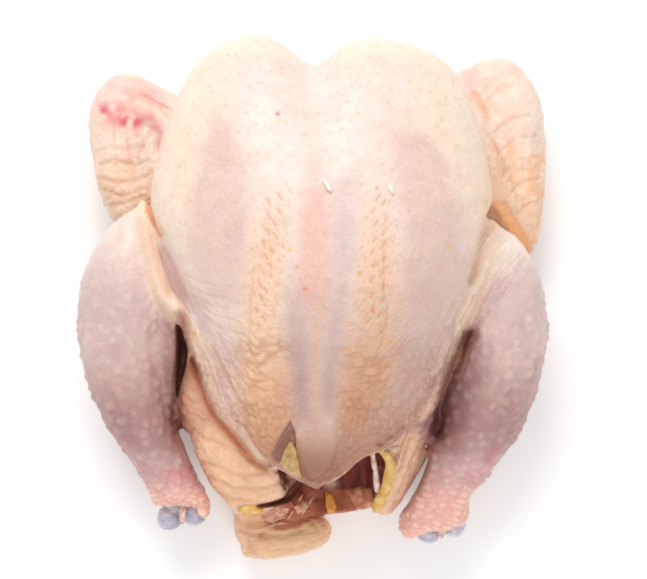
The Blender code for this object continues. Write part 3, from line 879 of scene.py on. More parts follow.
# %% Scales on the lower breast
low_breast = on_breast * up_facing
KEEL_X = 316
across_keel = np.abs(seen_x - KEEL_X)
PIXEL_ON_BREAST = 0.43
grain = PIXEL_ON_BREAST * (seen_y + 0.8 * np.maximum(across_keel - 60, 0.0))
along_grain = PIXEL_ON_BREAST * seen_x
loose = np.stack([wander(6, 15), wander(6, 16), wander(6, 17)], axis=1)
scale_place = np.stack([along_grain * 0.42, grain, np.zeros(COUNT)], axis=1) + 0.9 * loose
scale_gap, scale_next = cells(3.3, 18, scale_place)
scale_edge = 1 - step_up(0.1, 1.1, scale_next - scale_gap)
keel_clear = 0.3 + 0.7 * step_up(9, 30, across_keel)
scale_zone = low_breast * step_up(322, 352, seen_y) * (1 - 0.6 * step_up(395, 425, seen_y)) * keel_clear
scale_zone *= 1 - 0.75 * step_up(75, 105, across_keel)
scale_zone *= (1 - torn) * (1 - capped)
wrinkles = scale_zone * scale_edge * step_up(-0.7, 0.2, wander((14, 7, 14), 13))
lift -= 0.55 * wrinkles
print("scaled points", int((scale_zone > 0.3).sum()))

# %% Pebbles on loose skin
pebble_gap, pebble_next = cells(4.2, 21, place + 1.1 * loose)
pebble_edge = 1 - step_up(0.1, 1.7, pebble_next - pebble_gap)
beside_keel = np.maximum(step_up(10, 34, across_keel), step_up(430, 445, seen_y))
pebble_zone = low_breast * step_up(375, 415, seen_y) * beside_keel * (1 - torn) * (1 - capped)
for zone in (
    low_breast * step_up(330, 370, seen_y) * step_up(72, 92, across_keel) * 0.8,
    on_flank * up_facing * step_up(320, 360, seen_y) * 0.8,
    on_flap * 0.5,
    on_tail * 0.4,
    on_wing * 0.75 * step_up(100, 150, seen_y),
):
    pebble_zone = np.maximum(pebble_zone, zone)
lift -= 0.72 * pebble_zone * pebble_edge * (0.5 + 0.5 * step_up(-0.5, 0.3, wander(8, 22)))
print("pebbled points", int((pebble_zone > 0.3).sum()))

# %% Goose bumps and pores
bump_gap, _ = cells(5.2, 31, place + 1.0 * loose)
goose = bell(bump_gap, 2.0) * (0.55 + 0.45 * step_up(-0.4, 0.5, wander(9, 32)))
goose_zone = on_leg * (0.25 + 0.75 * step_up(255, 330, seen_y)) * (1 - 0.3 * step_up(470, 490, seen_y))
goose_zone = np.maximum(goose_zone, 0.45 * on_wing)
lift += 1.4 * goose_zone * goose
pore_gap, _ = cells(4.3, 41)
pores = bell(pore_gap, 0.85) * on_breast * (1 - pebble_zone) * (1 - scale_zone)
pores *= 1 - step_up(330, 380, seen_y)
lift -= 0.2 * pores
print("bumpy points", int((goose_zone > 0.3).sum()))

# %% [markdown]
# ## The grain of fine wrinkles
# The finest wrinkles are too thin for the mesh, so the material draws them. It needs to know
# which way they run: along the folds at the flanks, round the wing, across the tail. Each patch
# of skin gets its own pair of coordinates, across the wrinkles and along them.

# %% The grain of fine wrinkles
GRAIN_PATCHES = [
    # outline, the way the wrinkles run, strength
    (
        [
            (146, 205), (160, 215), (190, 290), (205, 330), (246, 425), (228, 425), (200, 385), (178, 312),
            (158, 270),
        ],
        (0.40, 0.92), 1.0,
    ),
    (
        [(494, 226), (528, 256), (500, 300), (470, 345), (440, 372), (430, 340), (450, 300), (470, 262)],
        (-0.57, 0.82), 1.3,
    ),
    (
        [
            (178, 376), (203, 388), (217, 414), (258, 463), (300, 482), (262, 506), (233, 511), (209, 483),
            (180, 441),
        ],
        (0.8, 0.6), 0.55,
    ),
    (
        [(440, 385), (437, 420), (418, 476), (390, 512), (376, 512), (396, 450), (400, 430)], (-0.35, 0.94),
        1.0,
    ),
    ([(96, 140), (155, 136), (150, 200), (120, 224), (100, 200)], (0.98, 0.2), 0.5),
    ([(466, 70), (507, 58), (540, 110), (541, 240), (530, 262), (498, 200), (488, 120)], (-0.5, 0.87), 0.55),
    (
        [(232, 530), (262, 534), (290, 530), (330, 518), (332, 534), (311, 552), (262, 562), (240, 540)],
        (0.98, -0.2), 1.0,
    ),
]
wrinkled = low_breast * step_up(255, 330, seen_y) * (1 - torn) * (1 - capped)
wrinkled *= 0.45 + 0.55 * step_up(20, 45, across_keel)
for outline, (run_x, run_y), strength in GRAIN_PATCHES:
    share = within(outline, 5.0)
    inside, clear_of_edge = share > 0.5, np.abs(2 * share - 1)
    grain = np.where(inside, PIXEL_ON_BREAST * (run_x * seen_y - run_y * seen_x), grain)
    along_grain = np.where(inside, PIXEL_ON_BREAST * (run_x * seen_x + run_y * seen_y), along_grain)
    wrinkled = clear_of_edge * np.where(inside, strength * up_facing, wrinkled)
print("wrinkled points", int((wrinkled > 0.2).sum()))

# %% [markdown]
# ## Ankles, and the new places
# Round the ankles the skin has slid together in broken rings, which are cells stretched round
# the leg. Then all the small lifts are added to the skin in one move. The skin at the left
# ankle's outer side has drawn back from the knuckle, so it is pulled up the leg a little.

# %% Wrinkled ankles, and all small lifts at once
ankle = on_leg * step_up(448, 480, seen_y)
leg_tilt = np.where(seen_x < 300, 0.35, -0.35)
round_leg = place[:, 0] + leg_tilt * place[:, 1]
down_leg = place[:, 1] - leg_tilt * place[:, 0]
ankle_place = np.stack([round_leg * 0.5, down_leg, place[:, 2] * 0.5], axis=1) + 0.9 * loose
ankle_gap, ankle_next = cells(3.0, 33, ankle_place)
ankle_fold = ankle * (1 - step_up(0.1, 1.2, ankle_next - ankle_gap))
lift -= 0.5 * ankle_fold
lift *= step_up(0.5, 5, place[:, 2]) * (1 - in_gap)
facing = outward(place)
place = place + facing * lift[:, None]
SKIN_EDGE_X, SKIN_EDGE_Y, DRAWN_SHARE = -53, -88, 0.3
drawn_back = on_leg * (place[:, 0] < SKIN_EDGE_X) * (place[:, 1] < SKIN_EDGE_Y)
place[:, 1] += drawn_back * DRAWN_SHARE * (SKIN_EDGE_Y - place[:, 1])
place[:, 2] = np.maximum(place[:, 2], 0.0)
seen_x, seen_y = seen(place)
facing = outward(place)
up_facing = step_up(-0.05, 0.25, facing[:, 2])
print("lift from", round(float(lift.min()), 2), "to", round(float(lift.max()), 2), "mm")

# %% [markdown]
# ## Painting the skin
# Raw skin is thin, and its colour is what lies under it: cream where fat is, pink over muscle,
# lavender where the dark meat shows through, red where blood has pooled. Each patch is painted
# into a colour attribute by the same lines and outlines that shaped the skin.

# %% Colours, and a brush


def linear(code):
    """A hex colour as sRGB, turned to the linear numbers that Blender works in."""
    parts = [int(code[i : i + 2], 16) / 255 for i in (0, 2, 4)]
    return np.array([c / 12.92 if c <= 0.04045 else ((c + 0.055) / 1.055) ** 2.4 for c in parts])


tint = np.tile(linear("f4d3c6"), (COUNT, 1))
sharp_x, sharp_y = seen_x, seen_y
seen_x = sharp_x + 2.2 * wander(8, 61) + 1.0 * wander(3.5, 62)
seen_y = sharp_y + 2.2 * wander(8, 63) + 1.0 * wander(3.5, 64)


def brush(code, mask, strength=1.0):
    """Paints the colour over the skin where the mask is."""
    global tint
    share = np.clip(np.asarray(mask) * strength, 0, 1)[:, None]
    tint = tint * (1 - share) + linear(code) * share


def paint_shade(code, mask):
    """Darkens the colour under the mask: this is painted shade."""
    global tint
    tint = tint * (1 - np.clip(np.asarray(mask), 0, 1)[:, None] * (1 - linear(code)))


brush("f4dcd1", on_breast)
brush("f6dccb", on_wing)
brush("dbbdb9", on_leg)
brush("efcfb8", on_flank)
brush("f2c6a6", on_flap)
brush("f8cba6", on_flap * round_spot(236, 482, 26, 24))
brush("e6b9a0", on_flap * bell(near([(186, 360), (190, 400), (196, 424)]), 10), 0.6)
brush("f4c8a0", on_tail)
brush("eacbb6", on_back)
print("first coat mean", tint.mean(axis=0).round(3))

# %% [markdown]
# ## Breast colours
# The shoulders are cream with fat, the two breast muscles show pink, and a pink strip runs over
# the keel with lavender either side, where there is no fat. Two yellow tracts of fat carry the
# feather rows. Real skin changes colour softly, so every edge is wide and wandering.

# %% Breast
MEAT_LEFT = [
    (212, 112), (232, 130), (246, 170), (250, 220), (246, 270), (236, 305), (212, 300), (193, 262),
    (188, 235), (192, 195), (203, 150),
]
MEAT_RIGHT = [
    (392, 128), (425, 130), (446, 160), (462, 215), (466, 262), (448, 300), (412, 322), (402, 290),
    (404, 240), (398, 180),
]
brush("f7e0cb", on_breast * step_up(70, 118, across_keel) * (1 - step_up(215, 290, seen_y)), 0.85)
brush("f5e3c9", on_breast * (1 - step_up(48, 66, seen_y)), 0.5)
brush("fbd3b4", on_breast * step_up(468, 492, seen_x) * step_up(110, 170, seen_y), 0.7)
brush("e6c5bb", (within(MEAT_LEFT, 11) + within(MEAT_RIGHT, 13)) * on_breast, 0.8)
brush("e8cac3", on_breast * step_up(280, 360, seen_y) * step_up(60, 95, across_keel), 0.75)
PINK_STRIP = [
    (307, 90), (322, 90), (326, 170), (331, 240), (330, 290), (326, 312), (305, 312), (299, 290), (300, 240),
    (305, 170),
]
brush("f1c3b6", within(PINK_STRIP, 9) * on_breast * step_up(90, 200, seen_y), 0.85)
LAVENDER_RIGHT = [
    (329, 178), (352, 178), (356, 240), (350, 290), (346, 320), (340, 360), (334, 412), (322, 412),
    (322, 330), (333, 290), (332, 240),
]
LAVENDER_LEFT = [
    (290, 290), (303, 300), (309, 330), (312, 370), (310, 418), (296, 418), (288, 370), (284, 330),
]
brush("e0c6c2", within(LAVENDER_RIGHT, 14) * on_breast, 0.8)
brush("dfc3bf", within(LAVENDER_LEFT, 12) * on_breast, 0.85)
lavender = within(LAVENDER_RIGHT, 9) + within(LAVENDER_LEFT, 9)
brush("ccacaa", lavender * on_breast * step_up(330, 400, seen_y), 0.6)
KEEL_LINE = [(317, 305), (316, 330), (315, 380), (315, 428)]
brush("f0cbb8", bell(near(KEEL_LINE), 5.5) * on_breast, 0.8)
FAT_LEFT = [
    (268, 180), (290, 190), (283, 250), (280, 310), (286, 340), (290, 400), (286, 428), (268, 450),
    (246, 430), (238, 380), (238, 340), (243, 290), (252, 240), (258, 200),
]
FAT_RIGHT = [
    (366, 178), (384, 185), (394, 240), (400, 310), (398, 350), (384, 400), (360, 430), (341, 430),
    (341, 400), (346, 350), (354, 310), (361, 250), (364, 200),
]
fat_tracts = (within(FAT_LEFT, 13) + within(FAT_RIGHT, 13)) * on_breast * step_up(175, 260, seen_y)
thin_rows = 0.35 * on_breast * step_up(8, 20, across_keel) * (1 - step_up(300, 350, seen_y))
tract = fat_tracts * (1 - step_up(325, 360, seen_y)) + thin_rows
brush("f6cdaa", fat_tracts, 0.75)
brush("eab083", fat_tracts * step_up(330, 400, seen_y), 0.65)
brush("e3ae8a", low_breast * step_up(395, 440, seen_y) * step_up(12, 34, across_keel), 0.6)
brush("dcae93", pebble_zone * on_breast * step_up(330, 380, seen_y), 0.35)
print("breast painted, mean", tint[on_breast > 0.5].mean(axis=0).round(3))

# %% [markdown]
# ## Leg and flank colours
# Leg meat is dark, so thin skin over it looks lavender, with pale dots where bumps stretch it.
# The ankle is flushed with blood. The loose fold at the flank is cream fat at its crest. Shade is
# painted into the hollows beside it, on the legs' inner sides and lower middle, and on the belly
# roll under the breast's edge.

# %% Legs and flanks
leg_mottle = step_up(-0.5, 0.6, 0.6 * wander(11, 51) + 0.4 * wander(4, 52))
brush("f6e1d6", on_leg * (1 - step_up(225, 300, seen_y)), 0.8)
brush("fdeadb", on_leg * round_spot(508, 246, 24, 18), 0.8)
brush("c8a5a5", on_leg * step_up(285, 350, seen_y) * leg_mottle, 0.55)
brush("e6cbbf", on_leg * step_up(285, 350, seen_y) * (1 - leg_mottle) * (1 - step_up(400, 450, seen_y)), 0.4)
brush("a87d7d", on_leg * step_up(350, 430, seen_y) * (1 - step_up(440, 475, seen_y)), 0.55)
# Painted shade on the right leg's inner side, under the breast's edge.
shade_inside_right_leg = bell(near([(468, 345), (462, 380), (452, 410)]), 26)
brush("a07a7c", on_leg * shade_inside_right_leg * step_up(330, 360, seen_y), 0.6)
# Painted shade on the left leg's inner side, beside the hollow.
brush("a8807f", on_leg * bell(near([(168, 330), (166, 370), (170, 420)]), 10), 0.5)
brush("f3dfd3", goose_zone * goose * on_leg, 0.45)
magenta = on_leg * bell(seen_y - 462, 20) * step_up(-0.2, 0.5, wander(9, 53))
brush("d9808f", magenta, 0.6)
brush("ffcebb", on_leg * step_up(478, 500, seen_y), 0.85)
brush("d98a84", ankle_fold * on_leg, 0.4)
brush("fde8cf", bell(near(FLANK_CREST_LEFT), 7) * up_facing * (1 - step_up(340, 380, seen_y)), 0.9)
brush("f1c7a6", bell(near([(146, 222), (149, 245), (156, 272), (166, 296)]), 4) * up_facing, 0.7)
brush("ebd3d3", bell(near(FLANK_VALLEY_LEFT), 8.0) * step_up(225, 250, seen_y) * up_facing, 0.7)
brush("e0905a", bell(near([(149, 207), (154, 221), (160, 234)]), 3.0) * up_facing, 0.85)
brush("fae4d2", bell(near(FLANK_CREST_RIGHT), 5.0) * up_facing, 0.7)
KNEE_RIGHT = [(494, 224), (512, 240), (500, 268), (482, 290), (468, 300), (470, 262), (478, 240)]
brush("f6ddc8", within(KNEE_RIGHT, 6) * up_facing, 0.6)
brush("e6bfa6", on_flank * up_facing * step_up(350, 400, seen_y), 0.6)
ROLL_TOP = [
    (177, 366), (194, 356), (203, 388), (217, 414), (237, 437), (258, 463), (282, 474), (300, 482),
    (290, 498), (262, 506), (233, 511), (209, 483), (196, 458), (180, 441),
]
roll = within(ROLL_TOP, 4) * (1 - on_breast) * up_facing
brush("f8caa6", roll, 0.9)
# Painted shade: the roll's top is darkened in the hollow under the flank sheet, and a painted shadow lies
# along the breast's lower edge.
paint_shade("b9998c", roll * (1 - step_up(366, 392, seen_y)))
paint_shade("e0c4b8", roll * bell(near(BREAST_EDGE_LOW_LEFT), 7))
# Painted shade: darker round the legs' lower middle, and on the right leg's inner side.
paint_shade("e8dad9", on_leg * bell(seen_y - 415, 55))
paint_shade("d9c8c6", on_leg * bell(near([(458, 335), (452, 360), (446, 400), (444, 430)]), 22))
# Painted shade in the hollows between the legs and the body, and on the left leg's inner side.
paint_shade("a98884", bell(near(HOLLOW_RIGHT), 7))
paint_shade("c4a49c", bell(near(HOLLOW_LEFT), 7))
paint_shade("dcc6c0", on_leg * bell(near([(176, 320), (174, 360), (176, 410), (180, 440)]), 12))
print("legs painted, mean", tint[on_leg > 0.5].mean(axis=0).round(3))

# %% [markdown]
# ## Wing colours
# The wings are cream and peach, with a bruise at the left wrist where blood has pooled and a
# band of orange fat along the right elbow.

# %% Wings
blush = round_spot(107, 114, 12, 9) + round_spot(138, 124, 14, 9) + 0.8 * round_spot(122, 110, 22, 12)
brush("ee9a98", blush * on_wing * step_up(-0.7, 0.2, wander(4, 54)), 0.85)
streaks = step_up(-0.5, 0.4, wander((3, 3, 3), 58))
bruises = round_spot(106, 114, 10, 7) + round_spot(140, 126, 15, 9) + round_spot(127, 119, 11, 6)
brush("dd4f66", bruises * on_wing * streaks, 0.75)
brush("f3b08c", on_wing * step_up(120, 160, seen_y) * step_up(0.1, 0.7, wander(7, 59)), 0.55)
brush("fbe3c8", on_wing * step_up(120, 160, seen_y) * step_up(0.1, 0.7, wander(6, 60)), 0.5)
pink = round_spot(128, 88, 30, 14) + round_spot(156, 98, 14, 8) + round_spot(470, 84, 10, 18)
brush("f6c0ba", pink * on_wing, 0.7)
brush("fbd5b6", on_wing * step_up(140, 190, seen_y), 0.8)
brush("dc8f88", bell(near([(148, 112), (158, 126), (160, 146)]), 5) * on_wing, 0.6)
orange = step_up(-0.1, 0.6, wander(5, 61)) * step_up(115, 160, seen_y) * step_up(480, 490, seen_x)
brush("fbb884", on_wing * orange, 0.5)
brush("f3b488", bell(near([(476, 94), (483, 106), (489, 120)]), 4) * on_wing, 0.6)
brush("ffb268", bell(near([(500, 206), (510, 221), (521, 240), (530, 258)]), 6.5) * on_wing, 0.9)
brush("f2c49c", on_wing * bell(seen_x - 497, 14) * step_up(120, 180, seen_y), 0.55)
print("wings painted, mean", tint[on_wing > 0.5].mean(axis=0).round(3))

# %% [markdown]
# ## Tail, vent and keel tip colours
# Cut flesh is red and streaked, the cavity behind it dark red, and fat under the tail's skin is
# golden. Toward the tail, where the light fades, shade is painted onto the lower breast, the torn
# skin and the cut flesh. The narrow gaps are painted dark as shade, and the membrane at the keel's
# tip has a painted highlight on its left edge.

# %% Tail, vent and keel tip
# Painted shade: the narrow gaps beside the legs and under the belly roll are painted dark.
brush("b07f70", in_gap)
brush("702c24", in_cavity)
brush("a54a3a", in_cavity * step_up(-0.2, 0.6, wander((4, 14, 4), 55)), 0.6)
FLESH = [
    (262, 517), (275, 508), (288, 499), (302, 486), (322, 490), (345, 490), (372, 488), (373, 506),
    (364, 515), (336, 513), (324, 516), (310, 522), (294, 529), (274, 531),
]
flesh = within(FLESH, 2.5) * (1 - on_breast) * up_facing
brush("cf9070", flesh)
brush("a4503e", flesh * step_up(-0.1, 0.6, wander((5, 8, 5), 56)), 0.75)
brush("edc9b4", flesh * step_up(0.2, 0.7, wander((7, 3, 7), 57)), 0.6)
brush("b98f88", torn)
brush("dcab82", on_tail * bell(near([(246, 552), (275, 546), (300, 541), (318, 536)]), 8) * (1 - flesh), 0.3)
brush("f6bf86", on_tail * round_spot(317, 528, 12, 10), 0.6)
brush("e9b9a0", on_tail * round_spot(246, 532, 12, 10), 0.6)
brush("f7d3a4", on_tail * round_spot(290, 534, 16, 6), 0.6)
brush("c99a78", on_tail * bell(near([(262, 537), (280, 536), (300, 532)]), 3), 0.5)
brush("d9a98c", on_tail * bell(near([(249, 541), (255, 551), (259, 558)]), 3), 0.5)
brush("dab08e", cap_shown, 0.85)
# A painted highlight along the membrane's left edge.
brush("e6c6a6", bell(near([(299, 440), (303, 460), (310, 474)]), 3) * cap_shown, 0.5)
brush("dc9a86", round_spot(320, 484, 8, 5) * on_breast, 0.7)
brush("e0a98c", on_flap * bell(near([(299, 478), (296, 488), (289, 496)]), 6), 0.7)

# Painted shade down the breast's middle, darker toward the tail.
paint_shade("e4dad7", low_breast * step_up(215, 390, seen_y) * step_up(262, 300, seen_x))
brush("eab68c", low_breast * round_spot(268, 436, 24, 22) * (1 - torn) * (1 - capped), 0.5)
# Painted shade: the breast's low end, the torn skin and the cut flesh are darkened toward the tail, where the
# light fades.
paint_shade("dcc8b8", low_breast * step_up(400, 475, seen_y))
paint_shade("e4d0be", low_breast * step_up(440, 470, seen_y) * (1 - step_up(14, 34, across_keel)))
paint_shade("f0e0d2", torn)
paint_shade("dcb8a4", flesh)

# %% [markdown]
# ## Follicles, creases and small marks
# A follicle is orange inside with a pale lip, and creases are redder. A few yellow and red specks
# are placed one by one where the photograph has them.

# %% Follicles, creases and small marks
brush("dc9358", slits, 0.55)
brush("fbe9d8", lips * (1 - slits), 0.25)
brush("d4905e", wrinkles * fat_tracts, 0.4)
brush("bd8a72", wrinkles, 0.2)
brush("bd8260", pebble_zone * pebble_edge * (on_breast + on_flap + on_flank + on_tail), 0.28)
brush("dfa27e", creased * up_facing, 0.5)
brush("ecb48a", pores, 0.5)
SPECKS = [
    (290, 250, "e8b25a"),
    (297, 267, "e8b25a"),
    (359, 273, "e2b64e"),
    (377, 188, "e8a050"),
    (486, 202, "f0c850"),
    (449, 248, "eebf60"),
    (194, 334, "e2b340"),
    (305, 289, "e58a58"),
    (373, 311, "e0704c"),
    (278, 114, "d2433a"),
    (390, 342, "e0a040"),
    (350, 350, "e0a040"),
]
SPECK_SIZE = 1.9
seen_x, seen_y = sharp_x, sharp_y
for x, y, code in SPECKS:
    brush(code, round_spot(x, y, SPECK_SIZE, SPECK_SIZE) * up_facing, 0.95)
print("painted", COUNT, "points, mean", tint.mean(axis=0).round(3))

# %% [markdown]
# ## Thinning the skin
# The arrays go back into the mesh with the paint, the wetness and the grain of each point. A
# Decimate modifier then spends its triangles where they show: the top of the bird stays fine,
# and the back that it lies on goes coarse.

# %% Write the skin back
wet = np.clip(in_cavity + flesh + 0.7 * capped + torn, 0, 1)
skin_bvh = BVHTree.FromPolygons(place.tolist(), squares.tolist())
skin.data.vertices.foreach_set("co", ((place + HOME) * MM).astype(np.float32).ravel())
point_values = {
    "wet": wet,
    "fine_wrinkles": wrinkled,
    "grain_across": grain,
    "grain_along": along_grain,
    "from_keel": PIXEL_ON_BREAST * across_keel,
    "tract": np.clip(tract, 0, 1),
    "pebbled": np.clip(scale_zone + pebble_zone, 0, 1),
}
tint_layer = skin.data.attributes.new("tint", "FLOAT_COLOR", "POINT")
tint_layer.data.foreach_set("color", np.hstack([tint, np.ones((COUNT, 1))]).astype(np.float32).ravel())
for name, values in point_values.items():
    skin.data.attributes.new(name, "FLOAT", "POINT").data.foreach_set("value", values.astype(np.float32))
skin.data.update()
print("attributes", [a.name for a in skin.data.attributes])

# %% Thin the skin
SKIN_TRIANGLES = 194000
THIN_WHERE_HIDDEN = 0.6
deep_inside = in_cavity * step_up(-75, -55, place[:, 1])
hidden = np.clip(1 - step_up(-0.75, -0.35, facing[:, 2]) + deep_inside, 0, 1)
spare = skin.vertex_groups.new(name="spare")
for level in (0.25, 0.5, 0.75, 1.0):
    spare.add(np.flatnonzero(np.ceil(hidden * 4) / 4 == level).tolist(), level, "REPLACE")
thin = skin.modifiers.new("Thin", "DECIMATE")
thin.ratio = min(1.0, SKIN_TRIANGLES / (2 * len(squares)))
thin.vertex_group = "spare"
thin.vertex_group_factor = THIN_WHERE_HIDDEN
skin = applied(skin)
skin.data.shade_smooth()
print("thinned to", len(skin.data.polygons), "faces")

# %% [markdown]
# ## Materials: moist tissue
# Everything here is wet tissue: water with a little protein and fat, which bends light like
# water does, so the IOR is 1.4. Light goes a little way in and comes back redder, which is the
# subsurface radius, and a thin film of water on top is the coat. One helper adds a node with its
# settings and links, and one sets a shader up for moist tissue.

# %% One helper that adds a node


def add(tree, kind, settings=None, inputs=None):
    """A node of this kind with its settings, and its sockets' values or links."""
    node = tree.nodes.new(kind)
    for name, value in (settings or {}).items():
        setattr(node, name, value)
    for name, value in (inputs or {}).items():
        socket = node.inputs[name]
        if isinstance(value, bpy.types.NodeSocket):
            tree.links.new(value, socket)
        else:
            socket.default_value = value
    return node


# %% A shader for moist tissue


def wet_tissue(name, roughness, subsurface, radius, coat=0.0):
    """A material whose shader is set for moist tissue, with its shader and its tree."""
    made = bpy.data.materials.new(name)
    made.use_nodes = True
    shader = made.node_tree.nodes["Principled BSDF"]
    shader.inputs["Roughness"].default_value = roughness
    shader.inputs["IOR"].default_value = 1.4
    shader.inputs["Subsurface Weight"].default_value = subsurface
    shader.inputs["Subsurface Radius"].default_value = radius
    shader.inputs["Subsurface Scale"].default_value = 0.8 * MM
    shader.inputs["Coat Weight"].default_value = coat
    shader.inputs["Coat Roughness"].default_value = 0.3
    return made, shader, made.node_tree


# %% [markdown]
# ## Raw chicken skin, scalded and plucked
# Scalding leaves the skin bare, soft and damp: a satin gloss, never a shine, with roughness 0.42
# that falls to 0.2 on wet flesh. The painted tint gives the large colours, and two noises, 7 mm
# and 1.5 mm across, break it up as fat and small vessels do.

# %% Skin colour
SATIN, WET = 0.42, 0.2
raw_skin, shader, nodes = wet_tissue("raw_chicken_skin", SATIN, 0.15, (1.0, 0.45, 0.3), 0.15)
painted = add(nodes, "ShaderNodeAttribute", {"attribute_name": "tint"})
moist = add(nodes, "ShaderNodeAttribute", {"attribute_name": "wet"})
fine = add(nodes, "ShaderNodeAttribute", {"attribute_name": "fine_wrinkles"})
across = add(nodes, "ShaderNodeAttribute", {"attribute_name": "grain_across"})
along = add(nodes, "ShaderNodeAttribute", {"attribute_name": "grain_along"})
coords = add(nodes, "ShaderNodeTexCoord")
blotch = add(
    nodes, "ShaderNodeTexNoise", None,
    {"Vector": coords.outputs["Object"], "Scale": 1 / (7 * MM), "Detail": 4.0, "Roughness": 0.6},
)
blotch_range = add(
    nodes, "ShaderNodeMapRange", None,
    {"Value": blotch.outputs["Fac"], "From Min": 0.3, "From Max": 0.7, "To Min": 0.93, "To Max": 1.05},
)
freckle = add(
    nodes, "ShaderNodeTexNoise", None,
    {"Vector": coords.outputs["Object"], "Scale": 1 / (1.5 * MM), "Detail": 3.0, "Roughness": 0.65},
)
freckle_range = add(
    nodes, "ShaderNodeMapRange", None,
    {"Value": freckle.outputs["Fac"], "From Min": 0.3, "From Max": 0.7, "To Min": 0.94, "To Max": 1.05},
)
both = add(
    nodes, "ShaderNodeMath", {"operation": "MULTIPLY"},
    {0: blotch_range.outputs["Result"], 1: freckle_range.outputs["Result"]},
)
shaded = add(
    nodes, "ShaderNodeVectorMath", {"operation": "SCALE"},
    {0: painted.outputs["Color"], "Scale": both.outputs["Value"]},
)

# %% [markdown]
# ## Fine follicles
# Between the modelled rows lie smaller follicles, 3 mm apart. They are stretched cells that lean
# toward the keel on both sides, a little orange and pressed in by about a tenth of a millimetre.

# %% Follicles on the skin
from_keel = add(nodes, "ShaderNodeAttribute", {"attribute_name": "from_keel"})
tract_share = add(nodes, "ShaderNodeAttribute", {"attribute_name": "tract"})
slit_place = add(
    nodes, "ShaderNodeCombineXYZ", None, {"X": from_keel.outputs["Fac"], "Y": across.outputs["Fac"]},
)
slit_turn = add(
    nodes, "ShaderNodeMapping", {"vector_type": "POINT"},
    {"Vector": slit_place.outputs["Vector"], "Rotation": (0, 0, math.radians(50))},
)
slit_long = add(
    nodes, "ShaderNodeMapping", {"vector_type": "POINT"},
    {"Vector": slit_turn.outputs["Vector"], "Scale": (0.5, 1.15, 1.0)},
)
slit_cells = add(
    nodes, "ShaderNodeTexVoronoi", {"voronoi_dimensions": "2D"},
    {"Vector": slit_long.outputs["Vector"], "Scale": 0.3, "Randomness": 0.75},
)
slit_near = add(
    nodes, "ShaderNodeMapRange", {"interpolation_type": "SMOOTHSTEP"},
    {
        "Value": slit_cells.outputs["Distance"], "From Min": 0.02, "From Max": 0.2, "To Min": 1.0,
        "To Max": 0.0,
    },
)
slit = add(
    nodes, "ShaderNodeMath", {"operation": "MULTIPLY"},
    {0: slit_near.outputs["Result"], 1: tract_share.outputs["Fac"]},
)
slit_colour = add(
    nodes, "ShaderNodeMix", {"data_type": "RGBA", "blend_type": "MULTIPLY"},
    {"Factor": slit.outputs["Value"], 6: shaded.outputs["Vector"], 7: (0.98, 0.84, 0.66, 1.0)},
)
nodes.links.new(slit_colour.outputs[2], shader.inputs["Base Color"])
slit_bump = add(
    nodes, "ShaderNodeBump", {"invert": True},
    {"Height": slit.outputs["Value"], "Strength": 1.0, "Distance": 0.12 * MM},
)

# %% [markdown]
# ## Fine relief
# Three bumps are chained: pores 0.9 mm across, wrinkles 1.3 mm apart that follow the grain, and
# small scales of 2 mm where the skin is loose. Real pores are finer, but one pixel is 0.45 mm,
# so they are drawn as coarse as they need to be to show.

# %% Pores, wrinkles and small scales
gloss = add(
    nodes, "ShaderNodeMapRange", None, {"Value": moist.outputs["Fac"], "To Min": SATIN, "To Max": WET},
)
nodes.links.new(gloss.outputs["Result"], shader.inputs["Roughness"])
pore_noise = add(
    nodes, "ShaderNodeTexNoise", None,
    {"Vector": coords.outputs["Object"], "Scale": 1 / (0.9 * MM), "Detail": 3.0, "Roughness": 0.6},
)
pore_bump = add(
    nodes, "ShaderNodeBump", None,
    {
        "Height": pore_noise.outputs["Fac"], "Strength": 0.6, "Distance": 0.15 * MM,
        "Normal": slit_bump.outputs["Normal"],
    },
)
grain_place = add(
    nodes, "ShaderNodeCombineXYZ", None, {"X": along.outputs["Fac"], "Y": across.outputs["Fac"]},
)
stretch = add(
    nodes, "ShaderNodeMapping", {"vector_type": "POINT"},
    {"Vector": grain_place.outputs["Vector"], "Scale": (0.14, 0.75, 1.0)},
)
line_noise = add(
    nodes, "ShaderNodeTexNoise", None,
    {"Vector": stretch.outputs["Vector"], "Scale": 1.0, "Detail": 3.0, "Roughness": 0.55, "Distortion": 0.4},
)
line_height = add(
    nodes, "ShaderNodeMath", {"operation": "MULTIPLY"},
    {0: line_noise.outputs["Fac"], 1: fine.outputs["Fac"]},
)
line_bump = add(
    nodes, "ShaderNodeBump", None,
    {
        "Height": line_height.outputs["Value"], "Strength": 1.0, "Distance": 0.75 * MM,
        "Normal": pore_bump.outputs["Normal"],
    },
)
pebbled = add(nodes, "ShaderNodeAttribute", {"attribute_name": "pebbled"})
small_scales = add(
    nodes, "ShaderNodeTexVoronoi", {"feature": "SMOOTH_F1"},
    {"Vector": coords.outputs["Object"], "Scale": 1 / (2.0 * MM), "Smoothness": 0.4},
)
scale_height = add(
    nodes, "ShaderNodeMath", {"operation": "MULTIPLY"},
    {0: small_scales.outputs["Distance"], 1: pebbled.outputs["Fac"]},
)
scale_bump = add(
    nodes, "ShaderNodeBump", {"invert": True},
    {
        "Height": scale_height.outputs["Value"], "Strength": 0.8, "Distance": 0.4 * MM,
        "Normal": line_bump.outputs["Normal"],
    },
)
nodes.links.new(scale_bump.outputs["Normal"], shader.inputs["Normal"])
skin.data.materials.clear()
skin.data.materials.append(raw_skin)
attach(skin, "root")
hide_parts("chicken")
print("skin material", len(nodes.nodes), "nodes")

# %% [markdown]
# ## Fat, flesh, membrane and cartilage
# Where the skin ends, other tissues show: yellow fat at the vent and the keel, a slab of meat,
# wet membranes, and the blue-white cartilage that caps each leg bone. Each is its own piece,
# remeshed from lofts or from a patch laid on the skin, so that its edges are soft like flesh.

# %% Places on the skin under a pixel


